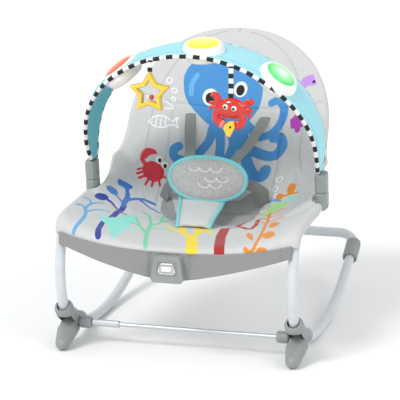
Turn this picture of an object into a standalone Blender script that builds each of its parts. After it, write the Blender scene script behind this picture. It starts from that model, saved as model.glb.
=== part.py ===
# Rocker bouncer seat: a tube frame on two rocker rails, a reclining back, a
# lift-off toy bar and a flip-down kickstand. Metres, +Z up, the child faces -Y.
# "left" is -X and "right" is +X, as seen from in front of the seat.
import math
import bpy
import bmesh
from mathutils import Matrix, Vector

# Driving dimensions
TRACK = 0.430            # rail centre to rail centre
TUBE = 0.019             # outside diameter of the frame tubes
TUBE_WALL = 0.0014
GAP = 0.0003             # clearance between pieces that touch
TUBE_SIDES = 10

FRAME_CENTRE_Y = 0.24783 # from the leg base to the middle of the whole length
ROCKER_RADIUS = 0.5576   # rail centreline
ROCKER_LOW_Y = 0.226     # where the rails touch the floor
RAIL_FRONT_Y = 0.058
RAIL_REAR_Y = 0.529
REAR_BEND = 0.035        # bend radius of the rear cross tube

LEG_BASE_Z = 0.062
LEG_TOP_Z = 0.198
SEAT_RAIL_FRONT_Z = 0.243
SEAT_RAIL_REAR_Z = 0.253
SEAT_BEND = 0.038

HUB_Y = 0.288            # recline axis
HUB_Z = 0.258
HUB_RADIUS = 0.026
HUB_WIDTH = 0.020
HUB_INSET = 0.015        # the seat tubes step in to the hubs behind the toy bar brackets
STEP_START_Y = 0.209
STEP_END_Y = 0.246
RECLINE_LEAN = math.radians(32.8)

BACK_LENGTH = 0.297      # recline axis to the top of the back tube
BACK_HALF_WIDTH = TRACK / 2 - 0.031
PAD = 0.012              # padded fabric
BOW_DEPTH = 0.0405       # how far the front edge bows forward
BOW_Z = 0.189

PIVOT_Y = 0.039          # kickstand axis
PIVOT_Z = 0.041
ROD = 0.008
FOOT_WIDTH = 0.027
HOUSING_WIDTH = 0.034

SOCKET_X = TRACK / 2 + 0.0055
SOCKET_Y = 0.1935
SOCKET_Z = 0.278         # where the toy bar plug meets its bracket
SOCKET_SIZE = (0.022, 0.030)
SOCKET_LEAN = math.atan(0.15)
PLUG_HEIGHT = 0.036
BRACKET_HEIGHT = 0.037
TONGUE = (0.012, 0.018, 0.014)

ARCH_HALF_WIDTH = TRACK / 2 + 0.0075
ARCH_SPRING_Z = 0.350
ARCH_TOP_Z = 0.543
BAND = 0.007             # thickness of the padded band
POD_RADIUS = 0.036
POD_HEIGHT = 0.030
POD_FORWARD = 0.036      # pods sit near the front edge of the band
LENS_RADIUS = 0.027

UNIT_TOP_Z = 0.2045      # vibration unit
UNIT_BOTTOM_Z = 0.157
UNIT_FRONT_Y = -0.072
UNIT_DEPTH = 0.026
UNIT_HALF_WIDTH = 0.030
UNIT_WALL = 0.0020
BUTTON = (0.032, 0.020)

# assembly: everything is modelled from the leg base and hangs on this empty
for old in list(bpy.data.objects):
    bpy.data.objects.remove(old, do_unlink=True)
assembly = bpy.data.objects.new("assembly", None)
assembly.location = (0.0, -FRAME_CENTRE_Y, 0.0)
bpy.context.collection.objects.link(assembly)

HALF = TRACK / 2
R = TUBE / 2


def finish(name, colour, roughness=0.5, metallic=0.0):
    material = bpy.data.materials.new(name)
    material.use_nodes = True
    shader = material.node_tree.nodes["Principled BSDF"]
    shader.inputs["Base Color"].default_value = (*colour, 1.0)
    shader.inputs["Roughness"].default_value = roughness
    shader.inputs["Metallic"].default_value = metallic
    return material


WHITE_PAINT = finish("white painted tube", (0.78, 0.80, 0.82), 0.35)
GREY_PLASTIC = finish("grey plastic", (0.33, 0.36, 0.35), 0.45)
WHITE_PLASTIC = finish("white plastic", (0.85, 0.85, 0.84), 0.35)
GREY_CLOTH = finish("light grey cloth", (0.62, 0.62, 0.62), 0.9)
DARK_CLOTH = finish("dark grey cloth", (0.28, 0.28, 0.28), 0.9)
WEBBING = finish("grey webbing", (0.32, 0.31, 0.30), 0.85)
TEAL_CLOTH = finish("teal cloth", (0.38, 0.66, 0.70), 0.9)
STRIPE_CLOTH = finish("striped ribbon", (0.10, 0.10, 0.11), 0.8)
STEEL = finish("bright steel", (0.55, 0.57, 0.58), 0.3, 0.9)
YELLOW = finish("yellow plastic", (0.85, 0.65, 0.06), 0.3)
RED = finish("red plastic", (0.75, 0.07, 0.04), 0.3)
GREEN = finish("green plastic", (0.25, 0.75, 0.32), 0.2)
ORANGE = finish("orange plastic", (0.75, 0.20, 0.05), 0.2)


# shape tools
def place(name, mesh, material, parent=None, smooth=False):
    if material:
        mesh.materials.append(material)
    body = bpy.data.objects.new(name, mesh)
    bpy.context.collection.objects.link(body)
    body.parent = parent or assembly
    for face in mesh.polygons:
        face.use_smooth = smooth
    return body


def hinge_empty(name, location):
    empty = bpy.data.objects.new(name, None)
    bpy.context.collection.objects.link(empty)
    empty.parent = assembly
    empty.location = location
    return empty


def to_mesh(name, shape):
    bmesh.ops.recalc_face_normals(shape, faces=shape.faces)
    mesh = bpy.data.meshes.new(name)
    shape.to_mesh(mesh)
    shape.free()
    return mesh


def rounded(points, radius, steps=6):
    """A line through the points with its corners rounded to one radius."""
    path = [Vector(points[0])]
    for before, corner, after in zip(points, points[1:], points[2:]):
        corner = Vector(corner)
        back = (Vector(before) - corner).normalized()
        onward = (Vector(after) - corner).normalized()
        turn = math.pi - back.angle(onward)
        reach = radius * math.tan(turn / 2)
        centre = corner + (back + onward).normalized() * radius / math.cos(turn / 2)
        spoke = corner + back * reach - centre
        axis = spoke.cross(corner + onward * reach - centre)
        for step in range(steps + 1):
            path.append(centre + Matrix.Rotation(turn * step / steps, 3, axis) @ spoke)
    path.append(Vector(points[-1]))
    return path


def rings_along(shape, path, radius, sides, side_axis):
    """Rings of vertices round a path; side_axis sets where each ring starts."""
    rings = []
    for index, point in enumerate(path):
        ahead = path[min(index + 1, len(path) - 1)] - point
        behind = point - path[max(index - 1, 0)]
        along = (ahead.normalized() + behind.normalized()).normalized()
        side = (side_axis - along * side_axis.dot(along)).normalized()
        other = along.cross(side)
        side_axis = side
        width, height = radius if isinstance(radius, tuple) else (radius, radius)
        ring = []
        for step in range(sides):
            angle = 2 * math.pi * (step + 0.5) / sides
            offset = side * (width * math.cos(angle)) + other * (height * math.sin(angle))
            ring.append(shape.verts.new(point + offset))
        rings.append(ring)
    return rings


def bridge(shape, rings):
    for ring, following in zip(rings, rings[1:]):
        for step in range(len(ring)):
            after = (step + 1) % len(ring)
            shape.faces.new((ring[step], ring[after], following[after], following[step]))


def sweep(name, path, radius, material, wall=0.0, sides=TUBE_SIDES, parent=None,
          side_axis=(1.0, 0.0, 0.0), smooth=True):
    """A round bar along a path, or a tube open at both ends when it has a wall."""
    shape = bmesh.new()
    axis = Vector(side_axis)
    outer = rings_along(shape, path, radius, sides, axis)
    bridge(shape, outer)
    if wall:
        inner = rings_along(shape, path, radius - wall, sides, axis)
        bridge(shape, inner)
        bridge(shape, [outer[0], inner[0]])
        bridge(shape, [outer[-1], inner[-1]])
    else:
        shape.faces.new(outer[0])
        shape.faces.new(outer[-1])
    return place(name, to_mesh(name, shape), material, parent, smooth)


def prism(name, outline, depth, material, axes="YZ", centre=0.0, bevel=0.0, parent=None,
          segments=1):
    """An outline in the YZ, XZ or XY plane given a depth across that plane."""
    shape = bmesh.new()
    across = {"YZ": "X", "XZ": "Y", "XY": "Z"}[axes]
    order = {"X": 0, "Y": 1, "Z": 2}
    verts = []
    for first, second in outline:
        spot = [0.0, 0.0, 0.0]
        spot[order[axes[0]]] = first
        spot[order[axes[1]]] = second
        spot[order[across]] = centre - depth / 2
        verts.append(shape.verts.new(spot))
    face = shape.faces.new(verts)
    grown = bmesh.ops.extrude_face_region(shape, geom=[face])
    step = Vector([depth if order[across] == index else 0.0 for index in range(3)])
    moved = [item for item in grown["geom"] if isinstance(item, bmesh.types.BMVert)]
    bmesh.ops.translate(shape, verts=moved, vec=step)
    body = place(name, to_mesh(name, shape), material, parent)
    if bevel:
        soften = body.modifiers.new("edges", "BEVEL")
        soften.width = bevel
        soften.segments = segments
        soften.limit_method = "ANGLE"
        soften.angle_limit = math.radians(35)
    return body


def box(name, size, centre, material, bevel=0.0, parent=None, lean=0.0):
    width, depth, height = (value / 2 for value in size)
    outline = [(-depth, -height), (depth, -height), (depth, height), (-depth, height)]
    if lean:
        outline = [(y * math.cos(lean) - z * math.sin(lean), y * math.sin(lean) + z * math.cos(lean))
                   for y, z in outline]
    outline = [(y + centre[1], z + centre[2]) for y, z in outline]
    return prism(name, outline, width * 2, material, centre=centre[0], bevel=bevel, parent=parent)


def rod(name, start, end, radius, material, sides=16, parent=None, smooth=True):
    start, end = Vector(start), Vector(end)
    along = end - start
    helper = Vector((0, 0, 1)) if abs(along.normalized().z) < 0.9 else Vector((1, 0, 0))
    return sweep(name, [start, end], radius, material, 0.0, sides, parent, helper, smooth)


def turned(name, profile, centre, axis, material, steps=24, parent=None):
    """A closed solid of revolution; profile is (radius, height) from base to top."""
    shape = bmesh.new()
    turn = Vector(axis).normalized().to_track_quat("Z", "Y")
    levels = []
    for radius, height in profile:
        if radius == 0.0:
            levels.append([shape.verts.new(turn @ Vector((0, 0, height)) + Vector(centre))])
            continue
        ring = []
        for step in range(steps):
            angle = 2 * math.pi * step / steps
            spot = Vector((radius * math.cos(angle), radius * math.sin(angle), height))
            ring.append(shape.verts.new(turn @ spot + Vector(centre)))
        levels.append(ring)
    for low, high in zip(levels, levels[1:]):
        for step in range(steps):
            after = (step + 1) % steps
            corners = [low[step % len(low)], low[after % len(low)],
                       high[after % len(high)], high[step % len(high)]]
            corners = list(dict.fromkeys(corners))
            if len(corners) > 2:
                shape.faces.new(corners)
    return place(name, to_mesh(name, shape), material, parent, True)


def ring_of(name, profile, centre, axis, material, steps=24, parent=None):
    """A ring: the closed outline in profile, (radius, height), goes right round."""
    shape = bmesh.new()
    turn = Vector(axis).normalized().to_track_quat("Z", "Y")
    rings = []
    for step in range(steps):
        angle = 2 * math.pi * step / steps
        rings.append([shape.verts.new(turn @ Vector((radius * math.cos(angle),
                      radius * math.sin(angle), height)) + Vector(centre))
                      for radius, height in profile])
    bridge(shape, rings + rings[:1])
    return place(name, to_mesh(name, shape), material, parent, True)


def padded(name, surface, across, along, thickness, material, parent=None):
    """A closed pad: a surface(u, v) with u and v from 0 to 1, given a thickness."""
    shape = bmesh.new()
    grid = [[shape.verts.new(surface(i / across, j / along)) for i in range(across + 1)]
            for j in range(along + 1)]
    for row, following in zip(grid, grid[1:]):
        for i in range(across):
            shape.faces.new((row[i], row[i + 1], following[i + 1], following[i]))
    body = place(name, to_mesh(name, shape), material, parent, True)
    thicken = body.modifiers.new("thickness", "SOLIDIFY")
    thicken.thickness = thickness
    thicken.offset = 0.0
    return body


def combine(body, other, operation):
    """Join or cut another solid into this one; the other stays as a hidden tool."""
    other.hide_render = True
    other.display_type = "WIRE"
    step = body.modifiers.new(other.name, "BOOLEAN")
    step.operation = operation
    step.object = other


# frame lines
def side_name(side):
    return "left" if side < 0 else "right"


def rail_z(y):
    return R + (y - ROCKER_LOW_Y) ** 2 / (2 * ROCKER_RADIUS)


def leg_y(z):
    return 0.0567 - 1.007 * z + 3.296 * z * z


def rail_path(side, start, end, count=12):
    ys = [start + (end - start) * index / count for index in range(count + 1)]
    return [Vector((side * HALF, y, rail_z(y))) for y in ys]


def seat_tube_path(side):
    leg = [LEG_BASE_Z + (LEG_TOP_Z - LEG_BASE_Z) * index / 7 for index in range(8)]
    low = [Vector((side * HALF, leg_y(z), z)) for z in leg]
    corner_z = SEAT_RAIL_FRONT_Z
    corner = Vector((side * HALF, leg_y(LEG_TOP_Z) + (corner_z - LEG_TOP_Z) * 0.31, corner_z))
    end = Vector((side * HALF, HUB_Y - HUB_RADIUS * 0.55, SEAT_RAIL_REAR_Z))
    bend = rounded([low[-1], corner, end], SEAT_BEND, 7)
    straight = bend[-2]
    tail = []
    for index in range(6):
        share = index / 5
        y = STEP_START_Y + (STEP_END_Y - STEP_START_Y) * share
        spot = straight.lerp(end, (y - straight.y) / (end.y - straight.y))
        spot.x -= side * HUB_INSET * share * share * (3 - 2 * share)
        tail.append(spot)
    end.x -= side * HUB_INSET
    return low[:-1] + bend[1:-1] + tail + [end]


def back_tube_half(up):
    """Half the width of the back tube: narrow at the hubs, then full width."""
    share = min(1.0, max(0.0, (up - HUB_RADIUS - 0.032) / 0.045))
    return BACK_HALF_WIDTH - HUB_INSET * (1 - share * share * (3 - 2 * share))


def back_point(x, up, forward=0.0):
    """A point on the back: up along it from the recline axis, forward off it."""
    lean, rise = math.sin(RECLINE_LEAN), math.cos(RECLINE_LEAN)
    return Vector((x, HUB_Y + up * lean - forward * rise, HUB_Z + up * rise + forward * lean))


def back_tube_path():
    """Up one side of the back, over its round top and down the other."""
    straight = BACK_LENGTH - BACK_HALF_WIDTH * 0.93
    start = HUB_RADIUS + GAP
    knee = HUB_RADIUS + 0.032
    widening = min(0.045, straight - knee - 0.002)
    heights = [start, knee] + [knee + widening * index / 4 for index in range(1, 5)] + [straight]
    side = [(-back_tube_half(up), up) for up in heights]
    top = []
    for index in range(1, 14):
        angle = math.pi * index / 14
        reach = abs(math.cos(angle)) ** 0.85 * math.copysign(1, math.cos(angle))
        top.append((-BACK_HALF_WIDTH * reach,
                    straight + (BACK_LENGTH - straight) * math.sin(angle) ** 0.85))
    outline = side + top + [(-x, up) for x, up in reversed(side)]
    return [back_point(x, up) for x, up in outline]


def bow_path():
    """The front tube, bowed forward between the two seat tubes."""
    reach = HALF - R - GAP * 5
    path = []
    for index in range(15):
        x = -reach + 2 * reach * index / 14
        part = 1 - (x / reach) ** 2
        path.append(Vector((x, bow_y(x), BOW_Z + (1 - part) * 0.004)))
    return path


def bow_y(x):
    return leg_y(LEG_TOP_Z) + 0.018 - BOW_DEPTH * (1 - (x / HALF) ** 2)


# frame: rails, legs, seat tubes, bow and back tube
CROSS = [Vector((side * HALF, RAIL_REAR_Y, rail_z(RAIL_REAR_Y))) for side in (-1, 1)]
SLOPE = Vector((0, 1, (RAIL_REAR_Y - ROCKER_LOW_Y) / ROCKER_RADIUS)).normalized()
corners = [CROSS[0] + SLOPE * GAP, CROSS[0] + SLOPE * REAR_BEND,
           CROSS[1] + SLOPE * REAR_BEND, CROSS[1] + SLOPE * GAP]
cross_path = rounded(corners, REAR_BEND * 0.98, 7)
sweep("rear_cross_tube", cross_path, R, WHITE_PAINT, TUBE_WALL,
      side_axis=(0, -SLOPE.z, SLOPE.y))
sweep("front_bow_tube", bow_path(), R, GREY_PLASTIC, TUBE_WALL, side_axis=(0, 0, 1))

for side in (-1, 1):
    name = side_name(side)
    sweep(f"{name}_rocker_rail", rail_path(side, RAIL_FRONT_Y, RAIL_REAR_Y), R, WHITE_PAINT,
          TUBE_WALL)
    sweep(f"{name}_seat_tube", seat_tube_path(side), R, WHITE_PAINT, TUBE_WALL)

    # rear stop: a moulded cap over the joint of rail and cross tube
    rail = rail_path(side, RAIL_FRONT_Y, RAIL_REAR_Y)
    bend = cross_path[:8] if side < 0 else cross_path[:-9:-1]
    stop = sweep(f"{name}_rear_stop", [rail[-2].lerp(rail[-1], 0.1)] + [rail[-1]] + bend[1:3],
                 R + 0.0055, GREY_PLASTIC)
    heel = box(f"{name}_stop_heel", (0.018, 0.026, 0.012),
               (side * HALF, RAIL_REAR_Y - 0.010, rail_z(RAIL_REAR_Y) - R - 0.0105), None, 0.003,
               lean=0.5)
    combine(stop, heel, "UNION")
    combine(stop, sweep(f"{name}_stop_bore", rail[-3:] + bend[1:], R + GAP * 2.5, None, sides=20),
            "DIFFERENCE")

    # front housing: holds the leg, the rail and the kickstand pivot
    outline = [(-0.0165, 0.0610), (-0.0190, 0.0860), (-0.0120, 0.0890), (0.0120, 0.0890),
               (0.0280, 0.0800), (0.0560, 0.0600), (0.0930, 0.0450), (0.0960, 0.0200),
               (0.0780, 0.0160), (0.0600, 0.0200), (0.0100, 0.0500)]
    shell = prism(f"{name}_front_housing", outline, HOUSING_WIDTH, GREY_PLASTIC,
                  centre=side * HALF, bevel=0.003, segments=2)
    leg_bore = [Vector((side * HALF, leg_y(z), z)) for z in (LEG_BASE_Z - GAP, 0.075, 0.088, 0.100)]
    rail = rail_path(side, RAIL_FRONT_Y, RAIL_REAR_Y)
    rail_bore = [rail[0] + (rail[0] - rail[1]).normalized() * GAP] + rail[1:4]
    slot = rod(f"{name}_foot_slot", (side * HALF - FOOT_WIDTH / 2 - GAP, PIVOT_Y, PIVOT_Z),
               (side * HALF + FOOT_WIDTH / 2 + GAP, PIVOT_Y, PIVOT_Z), 0.0172, None, 20)
    # the hood is hollow, so that the foot can turn up inside it
    mouth = prism(f"{name}_foot_mouth", [(0.039, 0.0240), (0.060, 0.0300), (0.060, -0.010),
                                         (-0.040, -0.010), (-0.040, 0.0600), (-0.0055, 0.0670),
                                         (0.0150, 0.0675), (0.0300, 0.0580)],
                  FOOT_WIDTH + GAP * 2, None, centre=side * HALF)
    scallop = rod(f"{name}_hood_scallop", (side * HALF, -0.040, 0.0900),
                  (side * HALF, -0.009, 0.0860), 0.0095, None, 12)
    inner = side * (HALF - HOUSING_WIDTH / 2 - 0.002)
    outer = side * (HALF + HOUSING_WIDTH / 2 + 0.002)
    pivot_hole = rod(f"{name}_pivot_hole", (inner, PIVOT_Y, PIVOT_Z),
                     (side * (HALF + FOOT_WIDTH / 2), PIVOT_Y, PIVOT_Z), ROD / 2 + GAP * 2, None, 12)
    for tool in (sweep(f"{name}_leg_bore", leg_bore, R + GAP, None),
                 sweep(f"{name}_rail_bore", rail_bore, R + GAP, None),
                 slot, mouth, scallop, pivot_hole):
        combine(shell, tool, "DIFFERENCE")

    # pivot boss: the collar on the inside of the housing that the rod turns in
    boss_end = side * (HALF - HOUSING_WIDTH / 2 - GAP)
    ring_of(f"{name}_pivot_boss", [(ROD / 2 + GAP * 2, 0.0), (0.0100, 0.0), (0.0112, 0.003),
                                   (0.0112, 0.020), (0.0090, 0.0235), (ROD / 2 + GAP * 2, 0.0235)],
            (boss_end, PIVOT_Y, PIVOT_Z), (-side, 0, 0), GREY_PLASTIC, 20)

# kickstand: two feet on one rod, folding up forwards
kickstand = hinge_empty("kickstand_axis", (0, PIVOT_Y, PIVOT_Z))


def on_kickstand(body):
    body.parent = kickstand
    body.location = (0, -PIVOT_Y, -PIVOT_Z)
    return body


for side in (-1, 1):
    name = side_name(side)
    toe = [(-0.0270, 0.0080), (-0.0210, 0.0008), (-0.0120, 0.0), (0.0110, 0.0), (0.0200, 0.0030),
           (0.0480, 0.0240)]
    arc = []
    for index in range(9):
        angle = math.radians(-60 + 235 * index / 8)
        arc.append((PIVOT_Y + 0.0165 * math.cos(angle), PIVOT_Z + 0.0165 * math.sin(angle)))
    brow = [(0.0060, 0.0500), (-0.0110, 0.0410), (-0.0240, 0.0240)]
    foot = on_kickstand(prism(f"{name}_kick_foot", toe[:5] + arc + brow, FOOT_WIDTH, GREY_PLASTIC,
                              centre=side * HALF, bevel=0.003, segments=2))
    hole = on_kickstand(rod(f"{name}_foot_hole", (side * (HALF - 0.02), PIVOT_Y, PIVOT_Z),
                            (side * (HALF + 0.0095), PIVOT_Y, PIVOT_Z), ROD / 2 + GAP, None, 12))
    # a slot in the brow of the foot passes either side of the leg tube
    slot = on_kickstand(prism(f"{name}_foot_slot_tool", [
        (0.0075, 0.0375), (-0.0150, 0.0355), (-0.0200, 0.0650), (0.0200, 0.0650), (0.0100, 0.0440)],
        TUBE + 0.0016, None, centre=side * HALF))
    combine(foot, hole, "DIFFERENCE")
    combine(foot, slot, "DIFFERENCE")
reach = HALF + 0.009
on_kickstand(rod("kickstand_rod", (-reach, PIVOT_Y, PIVOT_Z), (reach, PIVOT_Y, PIVOT_Z), ROD / 2,
                 STEEL, 12))
on_kickstand(ring_of("rod_sleeve", [(ROD / 2 + GAP, 0.0), (0.0066, 0.0), (0.0066, 0.050),
                                    (ROD / 2 + GAP, 0.050)],
                     (-0.172, PIVOT_Y, PIVOT_Z), (1, 0, 0), STEEL, 12))

# recline hubs: an outer half on the seat tube and an inner half on the back
backrest = hinge_empty("recline_axis", (0, HUB_Y, HUB_Z))


def on_backrest(body):
    body.parent = backrest
    body.location = (0, -HUB_Y, -HUB_Z)
    return body


for side in (-1, 1):
    name = side_name(side)
    hub_x = side * (HALF - HUB_INSET)
    base_x = hub_x - side * (HUB_WIDTH / 2 + 0.001)
    hub = turned(f"{name}_recline_hub", [(0, 0), (HUB_RADIUS - 0.002, 0), (HUB_RADIUS, 0.002),
                                         (HUB_RADIUS, HUB_WIDTH - 0.004),
                                         (HUB_RADIUS - 0.004, HUB_WIDTH), (0, HUB_WIDTH)],
                 (base_x, HUB_Y, HUB_Z), (side, 0, 0), GREY_PLASTIC, 24)
    collar_end = Vector((hub_x, HUB_Y - HUB_RADIUS - 0.015, SEAT_RAIL_REAR_Z))
    collar = rod(f"{name}_hub_collar", collar_end, (hub_x, HUB_Y - 0.004, SEAT_RAIL_REAR_Z),
                 R + 0.0040, None, 14)
    # the collar stays clear of the moving half
    bore = sweep(f"{name}_hub_bore", seat_tube_path(side)[8:-1] +
                 [Vector((hub_x, HUB_Y - HUB_RADIUS * 0.55 + GAP, SEAT_RAIL_REAR_Z))],
                 R + GAP, None)
    trim = box(f"{name}_hub_trim", (0.030, 0.14, 0.08),
               (base_x - side * 0.015, HUB_Y, HUB_Z), None)
    combine(hub, collar, "UNION")
    combine(hub, bore, "DIFFERENCE")
    combine(hub, trim, "DIFFERENCE")

    plate_x = base_x - side * GAP
    plate = on_backrest(turned(f"{name}_back_hub", [(0, 0), (HUB_RADIUS, 0), (HUB_RADIUS, 0.021),
                                                    (HUB_RADIUS - 0.003, 0.024), (0, 0.024)],
                               (plate_x, HUB_Y, HUB_Z), (-side, 0, 0), GREY_PLASTIC, 24))
    neck_x = side * back_tube_half(0)
    neck = on_backrest(rod(f"{name}_back_neck", back_point(neck_x, 0.010),
                           back_point(neck_x, HUB_RADIUS + 0.030), R + 0.0035, None, 14))
    socket = on_backrest(sweep(f"{name}_neck_bore", [back_point(neck_x, HUB_RADIUS),
                                                     back_point(neck_x, HUB_RADIUS + 0.060)],
                               R + GAP, None))
    wall = on_backrest(box(f"{name}_back_trim", (0.030, 0.14, 0.20),
                           (plate_x + side * 0.015, HUB_Y, HUB_Z + 0.05), None))
    combine(plate, neck, "UNION")
    combine(plate, socket, "DIFFERENCE")
    combine(plate, wall, "DIFFERENCE")

on_backrest(sweep("backrest_tube", back_tube_path(), R, WHITE_PAINT, TUBE_WALL))

# soft parts: plain solids of the right size
SEAT_REAR_Y = 0.214
SEAT_HALF = HALF - R - 0.004


def seat_surface(u, v):
    x = SEAT_HALF * (2 * u - 1)
    front = bow_y(x) + 0.002
    y = front + v * (SEAT_REAR_Y - front)
    rim_z = 0.2105 + 0.036 * min(1.0, v / 0.30)
    middle_z = 0.2085 - 0.008 * v
    return Vector((x, y, middle_z + (rim_z - middle_z) * abs(2 * u - 1) ** 2.4))


padded("seat_pad", seat_surface, 12, 8, PAD * 0.9, GREY_CLOTH)


def back_outline(up):
    """Half the width of the back cover at a height along the back."""
    straight = 0.115
    widest = BACK_HALF_WIDTH + 0.0145
    if up <= straight:
        return widest
    part = min(1.0, (up - straight) / (BACK_LENGTH + 0.013 - straight))
    return widest * (1 - part ** 2.3) ** (1 / 2.3)


def back_surface(u, v):
    across = 2 * u - 1
    top = BACK_LENGTH + 0.013
    low = -0.008 - 0.044 * (1 - across * across)
    up = low + (top - low) * v ** 0.9
    # the grid narrows to a short edge at the top
    half = max(back_outline(up), 0.030)
    narrow = back_tube_half(0) - 0.0265
    if up < 0.052:
        half = narrow
    elif up < 0.085:
        half = half + (narrow - half) * (0.085 - up) / 0.033
    x = half * across
    dish = -0.020 * (1 - across * across) * (1 - v ** 3)
    return back_point(x, up, R + PAD / 2 + 0.0015 + dish + 0.004)


on_backrest(padded("back_pad", back_surface, 12, 14, PAD, GREY_CLOTH))


def skirt_surface(u, v):
    x = (HALF - 0.014) * (2 * u - 1)
    middle = 1 - (2 * u - 1) ** 2
    top = BOW_Z + 0.0225
    low = 0.178 - 0.019 * middle
    return Vector((x, bow_y(x) - R - 0.0035 - 0.002 * v, top + (low - top) * v))


skirt = padded("front_skirt", skirt_surface, 14, 3, 0.004, DARK_CLOTH)
window = box("skirt_window", (UNIT_HALF_WIDTH * 2 + 0.002, 0.05, 0.08),
             (0, UNIT_FRONT_Y + 0.024, UNIT_TOP_Z + 0.001 - 0.04), None)
combine(skirt, window, "DIFFERENCE")

# crotch guard: an oval pad held up by a strap, with the buckle behind it
ring_profile = [(0, 0), (0.040, 0.0), (0.0425, 0.003), (0.0425, 0.009), (0.040, PAD), (0, PAD)]
guard = turned("crotch_pad", ring_profile, (0, 0, 0), (0, -1, 0), GREY_CLOTH, 24)
guard.data.transform(Matrix.Translation((0, 0.2065, 0.2865)) @ Matrix.Diagonal((1.70, 1, 1.03, 1)))


def strap_surface(u, v):
    return Vector((0.034 * (2 * u - 1), 0.122 + 0.066 * v, 0.2215 + 0.028 * v))


padded("crotch_strap", strap_surface, 2, 3, 0.004, GREY_CLOTH)
box("harness_buckle", (0.040, 0.010, 0.034), (0, 0.2135, 0.283), GREY_PLASTIC, 0.003)

for side in (-1, 1):
    name = side_name(side)
    ends = [(0.058, 0.222, 0.276), (0.090, 0.226, 0.258), (0.118, 0.224, 0.246),
            (0.146, 0.222, 0.2495)]
    line = [Vector((side * x, y, z)) for x, y, z in ends]
    sweep(f"{name}_waist_strap", line, (0.0011, 0.0105), WEBBING, sides=8, side_axis=(0, -1, 0))
    run = [back_point(side * 0.078, 0.150, 0.018), back_point(side * 0.076, 0.120, 0.017),
           back_point(side * 0.064, 0.070, 0.020), back_point(side * 0.047, 0.040, 0.030),
           back_point(side * 0.034, 0.030, 0.045)]
    on_backrest(sweep(f"{name}_shoulder_strap", run, (0.0110, 0.0012), WEBBING, sides=8))

# vibration unit under the middle of the front edge
UNIT_BACK_Y = UNIT_FRONT_Y + UNIT_DEPTH
SPLIT_Y = UNIT_FRONT_Y + 0.010


def unit_outline(inset):
    top = UNIT_HALF_WIDTH - 0.006 - inset
    low = UNIT_HALF_WIDTH - inset
    high, bottom = UNIT_TOP_Z - inset, UNIT_BOTTOM_Z + inset
    return [(-top + 0.004, high), (-top, high - 0.004), (-low, bottom + 0.006),
            (-low + 0.005, bottom), (low - 0.005, bottom), (low, bottom + 0.006),
            (top, high - 0.004), (top - 0.004, high)]


housing = prism("vibration_housing", unit_outline(0), UNIT_BACK_Y - SPLIT_Y, GREY_PLASTIC, "XZ",
                (UNIT_BACK_Y + SPLIT_Y) / 2)
hollow = prism("housing_hollow", unit_outline(UNIT_WALL), UNIT_BACK_Y - SPLIT_Y, None, "XZ",
               (UNIT_BACK_Y + SPLIT_Y) / 2 - UNIT_WALL)
DOOR = (0.044, 0.018)
DOOR_Z = UNIT_BOTTOM_Z + 0.0125
door_hole = box("door_hole", (DOOR[0] + GAP * 2, 0.02, DOOR[1] + GAP * 2), (0, UNIT_BACK_Y, DOOR_Z),
                None)
combine(housing, hollow, "DIFFERENCE")
combine(housing, door_hole, "DIFFERENCE")
box("battery_door", (DOOR[0], UNIT_WALL, DOOR[1]), (0, UNIT_BACK_Y - UNIT_WALL / 2, DOOR_Z),
    GREY_PLASTIC)

cover = prism("vibration_cover", unit_outline(0), SPLIT_Y - UNIT_FRONT_Y - GAP, GREY_PLASTIC, "XZ",
              (SPLIT_Y + UNIT_FRONT_Y - GAP) / 2)
cover_hollow = prism("cover_hollow", unit_outline(UNIT_WALL), 0.02, None, "XZ",
                     UNIT_FRONT_Y + UNIT_WALL + 0.01)
BUTTON_Z = 0.1835


def button_outline(grow):
    wide, narrow, tall = BUTTON[0] / 2 + grow, BUTTON[0] / 2 - 0.003 + grow, BUTTON[1] / 2 + grow
    corner = 0.004
    return [(-narrow + corner, BUTTON_Z + tall), (-narrow, BUTTON_Z + tall - corner),
            (-wide, BUTTON_Z - tall + corner), (-wide + corner, BUTTON_Z - tall),
            (wide - corner, BUTTON_Z - tall), (wide, BUTTON_Z - tall + corner),
            (narrow, BUTTON_Z + tall - corner), (narrow - corner, BUTTON_Z + tall)]


button_hole = prism("button_hole", button_outline(GAP), 0.02, None, "XZ", UNIT_FRONT_Y)
combine(cover, cover_hollow, "DIFFERENCE")
combine(cover, button_hole, "DIFFERENCE")
prism("vibration_button", button_outline(0), 0.0050, WHITE_PLASTIC, "XZ", UNIT_FRONT_Y + 0.0010)
rod("battery", (-0.0252, SPLIT_Y + 0.0052, DOOR_Z), (0.0252, SPLIT_Y + 0.0052, DOOR_Z), 0.0071,
    STEEL, 16)
MOTOR_Y, MOTOR_Z = SPLIT_Y + 0.006, 0.190
rod("vibration_motor", (-0.019, MOTOR_Y, MOTOR_Z), (0.001, MOTOR_Y, MOTOR_Z), 0.0050, STEEL, 14)
spin = hinge_empty("motor_axis", (0, MOTOR_Y, MOTOR_Z))
weight_outline = [(0.0055 * math.cos(math.radians(a)), 0.0055 * math.sin(math.radians(a)))
                  for a in range(-180, 1, 30)] + [(0.0018, 0.0018), (-0.0018, 0.0018)]
weight = prism("eccentric_weight", weight_outline, 0.007, STEEL, centre=0.0055)
weight.parent = spin

# toy bar: brackets on the seat tubes, plugs, padded band, light pods and toys
UP = Vector((0, -math.sin(SOCKET_LEAN), math.cos(SOCKET_LEAN)))
AHEAD = Vector((0, math.cos(SOCKET_LEAN), math.sin(SOCKET_LEAN)))


def socket_point(side, across, ahead, up):
    return Vector((side * (SOCKET_X + across), SOCKET_Y, SOCKET_Z)) + AHEAD * ahead + UP * up


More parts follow.
